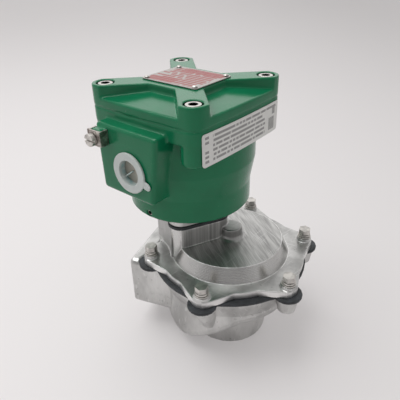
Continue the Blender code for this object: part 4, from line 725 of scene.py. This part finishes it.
@made_once
def studio_floor():
    """Pale matt floor with painted light falloff, darker towards one side, that glows faintly
    where it's seen.
    """
    finish = Finish("studio_floor")
    x, y = finish.parts(finish.place)[:2]
    cloud = finish.noise(finish.place, 5.0, 3.0)
    # Painted light falloff: the floor darkens towards one side.
    far = (x * 0.9 + y * 0.35).rise(-0.25, 0.75)
    near = shade_of(colours().floor, 1.0)
    tone = finish.mix(near, shade_of(colours().floor, 0.83), far)
    tone = finish.mix(tone, near, cloud * 0.12)
    finish.colour(tone)
    finish.roughness(0.62 + cloud * 0.15)
    rays = finish.add("ShaderNodeLightPath").outputs
    seen = Value(finish, rays["Is Camera Ray"]) + Value(finish, rays["Is Transmission Ray"])
    mirrored = Value(finish, rays["Is Glossy Ray"])
    glow = finish.add("ShaderNodeEmission", None, {"Color": tone, "Strength": 1.0})
    blend = finish.add("ShaderNodeMixShader", None,
                       {0: seen * 0.3 + mirrored * 0.2, 1: finish.shader.outputs[0],
                        2: glow.outputs[0]})
    surface = finish.tree.nodes["Material Output"].inputs["Surface"]
    finish.feed(surface, blend.outputs[0])
    return finish.material


def blank_copy(node, name):
    """A new object with a copy of a CAD node's mesh, its doubled corners joined again."""
    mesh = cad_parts[node].data.copy()
    mesh.materials.clear()
    shape = bmesh.new()
    shape.from_mesh(mesh)
    bmesh.ops.remove_doubles(shape, verts=shape.verts, dist=0.002 * MM)
    shape.to_mesh(mesh)
    shape.free()
    piece = bpy.data.objects.new(name, mesh)
    bpy.context.collection.objects.link(piece)
    return piece


def settle(piece, sharp=None):
    """Make the modifiers part of the mesh, and shade it smooth up to a sharp angle."""
    depsgraph = bpy.context.evaluated_depsgraph_get()
    mesh = bpy.data.meshes.new_from_object(piece.evaluated_get(depsgraph))
    piece.modifiers.clear()
    piece.data = mesh
    mesh.shade_smooth()
    if sharp is not None:
        mesh.set_sharp_from_angle(angle=sharp)


def hand_over(piece, node, material, body):
    """Give the piece its finish, and let it stand for the CAD node, on a body if it has one."""
    piece.data.materials.clear()
    piece.data.materials.append(material)
    if body:
        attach(piece, body)
    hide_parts(node)


def casting(node, grain, rounds, turn=0.0, swell=0.0):
    """A CAD solid with the soft edges of a casting or a moulding, within its triangle limit."""
    piece = blank_copy(node, node + "_surface")
    piece.data.transform(Matrix.Rotation(-turn, 4, "Z"))
    cells = piece.modifiers.new("cells", "REMESH")
    cells.mode = "VOXEL"
    cells.voxel_size = grain
    if rounds:
        soften = piece.modifiers.new("soften", "SMOOTH")
        soften.factor = 0.5
        soften.iterations = rounds
    if swell:
        bulge = piece.modifiers.new("bulge", "DISPLACE")
        bulge.mid_level = 0.0
        bulge.strength = swell
    settle(piece)
    triangles = sum(len(face.vertices) - 2 for face in piece.data.polygons)
    if triangles > MOST_TRIANGLES[node]:
        fewer = piece.modifiers.new("fewer", "DECIMATE")
        fewer.ratio = MOST_TRIANGLES[node] / triangles
        settle(piece)
    piece.data.transform(Matrix.Rotation(turn, 4, "Z"))
    return piece


def true_round(piece, axis_x, profile):
    """Bring the facets of a turned surface out to the true round of its (radius, height)s."""
    for vertex in piece.data.vertices:
        aside, beside, height = vertex.co.x - axis_x, vertex.co.y, vertex.co.z
        radius = math.hypot(aside, beside)
        for (low_r, low), (high_r, high) in zip(profile, profile[1:]):
            if low <= height <= high:
                short = low_r + (high_r - low_r) * (height - low) / (high - low) - radius
                share = min(1.0, max(0.0, 2.0 - abs(short) / FACET_REACH))
                grown = 1.0 + share * short / radius
                vertex.co = (axis_x + aside * grown, beside * grown, height)
                break


def machined(node, width, sharp=35.0):
    """A CAD solid with flat faces and a small bevel on its edges."""
    piece = blank_copy(node, node + "_surface")
    shape = bmesh.new()
    shape.from_mesh(piece.data)
    bmesh.ops.dissolve_limit(shape, angle_limit=math.radians(1.0), verts=shape.verts,
                             edges=shape.edges)
    shape.to_mesh(piece.data)
    shape.free()
    if width:
        bevel = piece.modifiers.new("edges", "BEVEL")
        bevel.width = width
        bevel.segments = 2
        bevel.limit_method = "ANGLE"
        bevel.angle_limit = math.radians(sharp)
    settle(piece, math.radians(max(sharp, 50.0)))
    even = piece.modifiers.new("even", "WEIGHTED_NORMAL")
    even.keep_sharp = True
    return piece


def new_piece(name, shape):
    """An object from a bmesh."""
    mesh = bpy.data.meshes.new(name)
    shape.to_mesh(mesh)
    shape.free()
    piece = bpy.data.objects.new(name, mesh)
    bpy.context.collection.objects.link(piece)
    return piece


def housing_place():
    """From the housing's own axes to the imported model's."""
    return (Matrix.Translation((PILOT_X, 0.0, HOUSING_Z))
            @ Matrix.Rotation(HOUSING_TURN, 4, "Z"))


def bent_side(lift, share):
    """A point of the side that bulges between two lugs."""
    return Vector((SIDE_FLAT + SIDE_BULGE * (1.0 - share * share) + lift, share * LUG_HALF))


def round_lug(lift, start, end, steps, side=1.0):
    """Points round the lug at the side's far end, or at its near end."""
    points = []
    for index in range(steps + 1):
        angle = start + (end - start) * index / steps
        radius = LUG_R + lift
        points.append(Vector((LUG_HALF + radius * math.cos(angle),
                              side * LUG_HALF + radius * math.sin(angle))))
    return points


def lugged_outline(lift):
    """The square with bulging sides and round lugs, pushed out by lift."""
    points = []
    for quarter in range(4):
        side = [bent_side(lift, share) for share in (-0.7, -0.35, 0.0, 0.35, 0.7)]
        side += round_lug(lift, 0.0, 0.5 * math.pi, 10)
        turn = Matrix.Rotation(quarter * 0.5 * math.pi, 2)
        points += [turn @ point for point in side]
    return points


def label_outline():
    """Close-set points along the label, from round one lug to round the other."""
    points = round_lug(LABEL_LIFT, -LABEL_WRAPS[0], 0.0, 14, -1.0)
    points += [bent_side(LABEL_LIFT, step / 20.0) for step in range(-19, 20)]
    return points + round_lug(LABEL_LIFT, 0.0, LABEL_WRAPS[1], 9)


def ring_piece(name, outer, inner, low, high):
    """A closed ring between two outlines of as many points."""
    shape = bmesh.new()
    loops = []
    for outline, height in ((outer, low), (outer, high), (inner, high), (inner, low)):
        loops.append([shape.verts.new((x, y, height)) for x, y in outline])
    count = len(outer)
    for first, second in zip(loops, loops[1:] + loops[:1]):
        for index in range(count):
            after = (index + 1) % count
            shape.faces.new((first[index], first[after], second[after], second[index]))
    return new_piece(name, shape)


def web_sector(place):
    """The number of the flexing web's sector at a place, or None on the clamped rim."""
    x, y = place.x - VALVE_X, place.y
    if math.hypot(x, y) > CLAMPED_R:
        return None
    return int(math.atan2(y, x) % (2.0 * math.pi) / (2.0 * math.pi) * SECTORS)


def sector_piece(piece, name, sector):
    """A new object with a piece's faces in one sector, or on the rim where that is None."""
    shape = bmesh.new()
    shape.from_mesh(piece.data)
    others = [face for face in shape.faces if web_sector(face.calc_center_median()) != sector]
    bmesh.ops.delete(shape, geom=others, context="FACES")
    part = new_piece(name, shape)
    part.data.shade_smooth()
    return part


def dress(nodes, material):
    """Give CAD nodes a finish and leave their shape."""
    for node in nodes:
        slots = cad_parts[node].data.materials
        slots.clear()
        slots.append(material)


def numbered(stem, numbers):
    return [f"{stem}_{number}" for number in numbers]


class PULSE_OT_body(bpy.types.Operator):
    """Make the cast body with its inlet boss, ears and outlet spigot"""
    bl_idname = "pulse_valve.body"
    bl_label = "Valve body"

    def execute(self, context):
        piece = casting("valve_body", sizes().cast_grain * BODY_COARSENESS,
                        sizes().cast_rounds + 1)
        true_round(piece, VALVE_X, SPIGOT_PROFILE)
        true_round(piece, VALVE_X, BOWL_PROFILE)
        hand_over(piece, "valve_body", cast_aluminium(), "fixed_valve")
        return {"FINISHED"}


class PULSE_OT_bonnet(bpy.types.Operator):
    """Make the bonnet with its brushed crown, turned slope and pilot block"""
    bl_idname = "pulse_valve.bonnet"
    bl_label = "Bonnet"

    def execute(self, context):
        piece = casting("bonnet", sizes().cast_grain * BONNET_COARSENESS, sizes().cast_rounds)
        true_round(piece, VALVE_X, DOME_PROFILE)
        hand_over(piece, "bonnet", bonnet_aluminium(), "fixed_valve")
        cap = machined("pilot_cap", sizes().edge_round * 2.0)
        hand_over(cap, "pilot_cap", cast_aluminium(), "fixed_valve")
        return {"FINISHED"}


class PULSE_OT_diaphragms(bpy.types.Operator):
    """Make the main diaphragm, squeezed between the flanges, and the pilot diaphragm"""
    bl_idname = "pulse_valve.diaphragms"
    bl_label = "Diaphragms"

    def execute(self, context):
        main = casting("main_diaphragm", RUBBER_GRAIN, 1, swell=sizes().rubber_swell)
        for sector in range(SECTORS):
            web = sector_piece(main, f"diaphragm_web_{sector + 1}", sector)
            hand_over(web, "main_diaphragm", black_rubber(), None)
            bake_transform(web)
        rim = sector_piece(main, "main_diaphragm_rim", None)
        hand_over(rim, "main_diaphragm", black_rubber(), "fixed_valve")
        bpy.data.objects.remove(main)
        pilot = casting("pilot_diaphragm", PILOT_RUBBER_GRAIN, 1, swell=sizes().rubber_swell)
        hand_over(pilot, "pilot_diaphragm", black_rubber(), "fixed_valve")
        return {"FINISHED"}


class PULSE_OT_housing(bpy.types.Operator):
    """Make the enamelled solenoid housing with its lugs and conduit box"""
    bl_idname = "pulse_valve.housing"
    bl_label = "Solenoid housing"

    def execute(self, context):
        piece = casting("solenoid_housing", sizes().enamel_grain * HOUSING_COARSENESS,
                        sizes().enamel_rounds, HOUSING_TURN)
        true_round(piece, PILOT_X, TUB_PROFILE)
        hand_over(piece, "solenoid_housing", green_enamel(), "fixed_valve")
        return {"FINISHED"}


class PULSE_OT_cover(bpy.types.Operator):
    """Make the enamelled cover with its four arms and soft-edged pockets"""
    bl_idname = "pulse_valve.cover"
    bl_label = "Housing cover"

    def execute(self, context):
        piece = casting("housing_cover", sizes().enamel_grain, sizes().enamel_rounds + 4,
                        HOUSING_TURN)
        hand_over(piece, "housing_cover", green_enamel(), "fixed_valve")
        bead = ring_piece("joint_bead", lugged_outline(-BEAD_INSET),
                          lugged_outline(-BEAD_INSET - BEAD_WIDTH),
                          RIM_TOP_H - BEAD_OVERLAP, COVER_LOW_H + BEAD_OVERLAP)
        bead.data.transform(housing_place())
        bead.data.materials.append(green_enamel())
        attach(bead, "fixed_valve")
        return {"FINISHED"}


class PULSE_OT_fasteners(bpy.types.Operator):
    """Make the bolts, washers and screws with bevelled edges"""
    bl_idname = "pulse_valve.fasteners"
    bl_label = "Bolts and screws"

    def execute(self, context):
        edge = sizes().edge_round
        bright = numbered("bonnet_bolt", BOLTS) + numbered("bonnet_spring_washer", BOLTS)
        bright += numbered("bonnet_washer", BOLTS)
        for node in bright + ["earth_screw"]:
            piece = machined(node, edge)
            hand_over(piece, node, bright_steel(), "fixed_valve")
        grub = machined("set_screw", edge)
        hand_over(grub, "set_screw", grub_steel(), "fixed_valve")
        for node in numbered("cover_screw", CORNERS):
            piece = machined(node, edge)
            hand_over(piece, node, socket_steel(), "fixed_valve")
        for node in numbered("pilot_cap_screw", CORNERS):
            piece = machined(node, edge)
            hand_over(piece, node, zinc_steel(), "fixed_valve")
        clamp = machined("earth_clamp", edge)
        hand_over(clamp, "earth_clamp", worn_steel(), "fixed_valve")
        return {"FINISHED"}


class PULSE_OT_nameplate(bpy.types.Operator):
    """Make the nameplate with plain red bars, and its four rivets"""
    bl_idname = "pulse_valve.nameplate"
    bl_label = "Nameplate"

    def execute(self, context):
        piece = machined("nameplate", sizes().plate_edge)
        hand_over(piece, "nameplate", nameplate_print(), "fixed_valve")
        for node in numbered("nameplate_rivet", CORNERS):
            rivet = machined(node, 0.0, sharp=60.0)
            hand_over(rivet, node, bright_steel(), "fixed_valve")
        return {"FINISHED"}


class PULSE_OT_label(bpy.types.Operator):
    """Make the side label with plain grey bars"""
    bl_idname = "pulse_valve.label"
    bl_label = "Side label"

    def execute(self, context):
        points = label_outline()
        reach = [0.0]
        for before, after in zip(points, points[1:]):
            reach.append(reach[-1] + (after - before).length)
        shape = bmesh.new()
        edges = []
        for point, run in zip(points, reach):
            short = max(0.0, LABEL_CORNER - min(run, reach[-1] - run))
            trim = LABEL_CORNER - math.sqrt(LABEL_CORNER ** 2 - short ** 2)
            edges.append([shape.verts.new((*point, LABEL_LOW_H + trim)),
                          shape.verts.new((*point, LABEL_HIGH_H - trim))])
        for (low, high), (next_low, next_high) in zip(edges, edges[1:]):
            shape.faces.new((low, next_low, next_high, high))
        piece = new_piece("side_label_surface", shape)
        film = piece.modifiers.new("film", "SOLIDIFY")
        film.thickness = LABEL_T
        film.offset = -1.0
        settle(piece, math.radians(40.0))
        piece.data.transform(housing_place())
        hand_over(piece, "side_label", label_print(), "fixed_valve")
        return {"FINISHED"}


class PULSE_OT_dust_plug(bpy.types.Operator):
    """Make the dust plug in the conduit entry"""
    bl_idname = "pulse_valve.dust_plug"
    bl_label = "Dust plug"

    def execute(self, context):
        piece = casting("entry_plug", PLUG_GRAIN, 3, HOUSING_TURN)
        hand_over(piece, "entry_plug", milky_plastic(), "dust_plug")
        shape = bmesh.new()
        bmesh.ops.create_cone(shape, cap_ends=True, segments=48, radius1=WEB_R,
                              radius2=WEB_R, depth=WEB_T)
        rib = bmesh.ops.create_cube(shape, size=1.0)["verts"]
        bmesh.ops.scale(shape, vec=(RIB_L, RIB_T, RIB_H), verts=rib)
        bmesh.ops.translate(shape, vec=(-0.5 * RIB_L, 0.0, 0.5 * RIB_H), verts=rib)
        bmesh.ops.rotate(shape, matrix=Matrix.Rotation(RIB_TURN, 3, "Z"), verts=rib)
        web = new_piece("plug_web", shape)
        soften = web.modifiers.new("edges", "BEVEL")
        soften.width = WEB_EDGE
        soften.segments = 2
        settle(web, math.radians(40.0))
        facing = Matrix.Rotation(0.5 * math.pi, 4, "X")
        inside = Matrix.Translation((0.0, ENTRY_FACE_Y + WEB_DEPTH, ENTRY_H))
        web.data.transform(housing_place() @ inside @ facing)
        web.data.materials.append(milky_plastic())
        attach(web, "dust_plug")
        return {"FINISHED"}


class PULSE_OT_inner_parts(bpy.types.Operator):
    """Finish the pieces inside the housing, the pilot and the main valve"""
    bl_idname = "pulse_valve.inner_parts"
    bl_label = "Inner parts"

    def execute(self, context):
        dress(["coil", "terminal_block"], black_moulding())
        dress(["coil_yoke", "coil_clip", "diaphragm_top_plate", "diaphragm_seat_plate",
               "diaphragm_nut", "diaphragm_stud"], zinc_steel())
        dress(["core_tube", "plunger", "pilot_disc"], bright_steel())
        dress(["core_tube_seal", "cover_seal", "plunger_disc"], black_rubber())
        return {"FINISHED"}


class PULSE_OT_springs(bpy.types.Operator):
    """Make the three springs"""
    bl_idname = "pulse_valve.springs"
    bl_label = "Springs"

    def execute(self, context):
        for node, joint, lift in SPRINGS:
            piece = blank_copy(node, node + "_wire")
            settle(piece, math.radians(60.0))
            hand_over(piece, node, bright_steel(), "fixed_valve")
            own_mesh(piece)
        return {"FINISHED"}


CAMERA_EYE = Vector((97.12 * MM, -270.44 * MM, 278.33 * MM))
CAMERA_AHEAD = Vector((-0.321, 0.802, -0.503))
CAMERA_ROLL = -0.02557
CAMERA_LENS_MM = 40.447
CAMERA_SENSOR_MM = 36.0
VALVE_MIDDLE = Vector((0.0, 0.0, 0.1))
SOFTBOX_SIDE = 1.0


def add_camera():
    """The camera stands where the view's perspective puts it, a little rolled."""
    data = bpy.data.cameras.new("view")
    data.sensor_width = CAMERA_SENSOR_MM
    data.lens = CAMERA_LENS_MM
    data.clip_start = 0.01
    camera = bpy.data.objects.new("view", data)
    bpy.context.collection.objects.link(camera)
    ahead = CAMERA_AHEAD.normalized()
    level = ahead.cross(Vector((0.0, 0.0, 1.0))).normalized()
    upright = level.cross(ahead)
    right = level * math.cos(CAMERA_ROLL) + upright * math.sin(CAMERA_ROLL)
    up = upright * math.cos(CAMERA_ROLL) - level * math.sin(CAMERA_ROLL)
    turn = Matrix((right, up, -ahead)).transposed()
    camera.matrix_world = Matrix.Translation(CAMERA_EYE) @ turn.to_4x4()
    bpy.context.scene.camera = camera


def add_lamp(name, place, power):
    """A square softbox that faces the valve's middle."""
    data = bpy.data.lights.new(name, "AREA")
    data.size = SOFTBOX_SIDE
    data.energy = power
    lamp = bpy.data.objects.new(name, data)
    bpy.context.collection.objects.link(lamp)
    lamp.location = place
    lamp.rotation_euler = (VALVE_MIDDLE - Vector(place)).to_track_quat("-Z", "Y").to_euler()


def light_surround():
    """A light tent: bright walls low at the back, a greyer roof, and a dim open front."""
    world = bpy.data.worlds.new("light_tent")
    world.use_nodes = True
    bpy.context.scene.world = world
    shade = Shade(world.node_tree)
    direction = shade.add("ShaderNodeTexCoord").outputs["Generated"]
    x, y, z = shade.parts(direction)
    roof = z.rise(0.45, 0.85)
    front = (0.0 - y).rise(0.1, 0.8) * (1.0 - z.rise(0.3, 0.8))
    behind = (y * 0.93 - x * 0.37).rise(0.35, 0.8) * (1.0 - z.rise(0.5, 0.64))
    behind = behind * (z.rise(0.19, 0.33) * 0.65 + 0.35)
    level = (0.64 - roof * 0.16) * (1.0 - front * 0.45) + behind * 1.1
    background = world.node_tree.nodes["Background"]
    shade.feed(background.inputs["Color"], shade.joined(level, level * 0.985, level * 0.98))
    shade.feed(background.inputs["Strength"], 0.9)


class PULSE_OT_stage(bpy.types.Operator):
    """Set the floor, the light tent, the lamps and the camera"""
    bl_idname = "pulse_valve.stage"
    bl_label = "Stage"

    def execute(self, context):
        context.scene.view_settings.view_transform = "Standard"
        add_camera()
        light_surround()
        add_lamp("roof_light", (-0.4, -0.1, 1.3), 10.5)
        add_lamp("left_light", (-1.2, -0.9, 0.7), 1.2)
        shape = bmesh.new()
        bmesh.ops.create_circle(shape, cap_ends=True, segments=96,
                                radius=sizes().floor_radius)
        floor = new_piece("floor", shape)
        floor.data.materials.append(studio_floor())
        return {"FINISHED"}


STEPS = (PULSE_OT_stage, PULSE_OT_body, PULSE_OT_bonnet, PULSE_OT_diaphragms,
         PULSE_OT_housing, PULSE_OT_cover, PULSE_OT_fasteners, PULSE_OT_nameplate,
         PULSE_OT_label, PULSE_OT_dust_plug, PULSE_OT_inner_parts, PULSE_OT_springs)


class PULSE_PT_valve(bpy.types.Panel):
    """Lists the sizes, the colours and the steps"""
    bl_idname = "PULSE_PT_valve"
    bl_label = "Pulse valve"
    bl_space_type = "VIEW_3D"
    bl_region_type = "UI"
    bl_category = "Pulse valve"

    def draw(self, context):
        layout = self.layout
        for group in (context.scene.valve_sizes, context.scene.valve_colours):
            column = layout.column(align=True)
            for name in group.__annotations__:
                column.prop(group, name)
        column = layout.column(align=True)
        for step in STEPS:
            column.operator(step.bl_idname)


CLASSES = (ValveSizes, ValveColours, *STEPS, PULSE_PT_valve)


def register():
    for item in CLASSES:
        bpy.utils.register_class(item)
    bpy.types.Scene.valve_sizes = bpy.props.PointerProperty(type=ValveSizes)
    bpy.types.Scene.valve_colours = bpy.props.PointerProperty(type=ValveColours)


def unregister():
    del bpy.types.Scene.valve_colours
    del bpy.types.Scene.valve_sizes
    for item in reversed(CLASSES):
        bpy.utils.unregister_class(item)


def main():
    register()
    for step in STEPS:
        group, name = step.bl_idname.split(".")
        getattr(getattr(bpy.ops, group), name)()
    bpy.context.view_layer.update()
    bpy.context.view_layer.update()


if __name__ == "__main__":
    main()
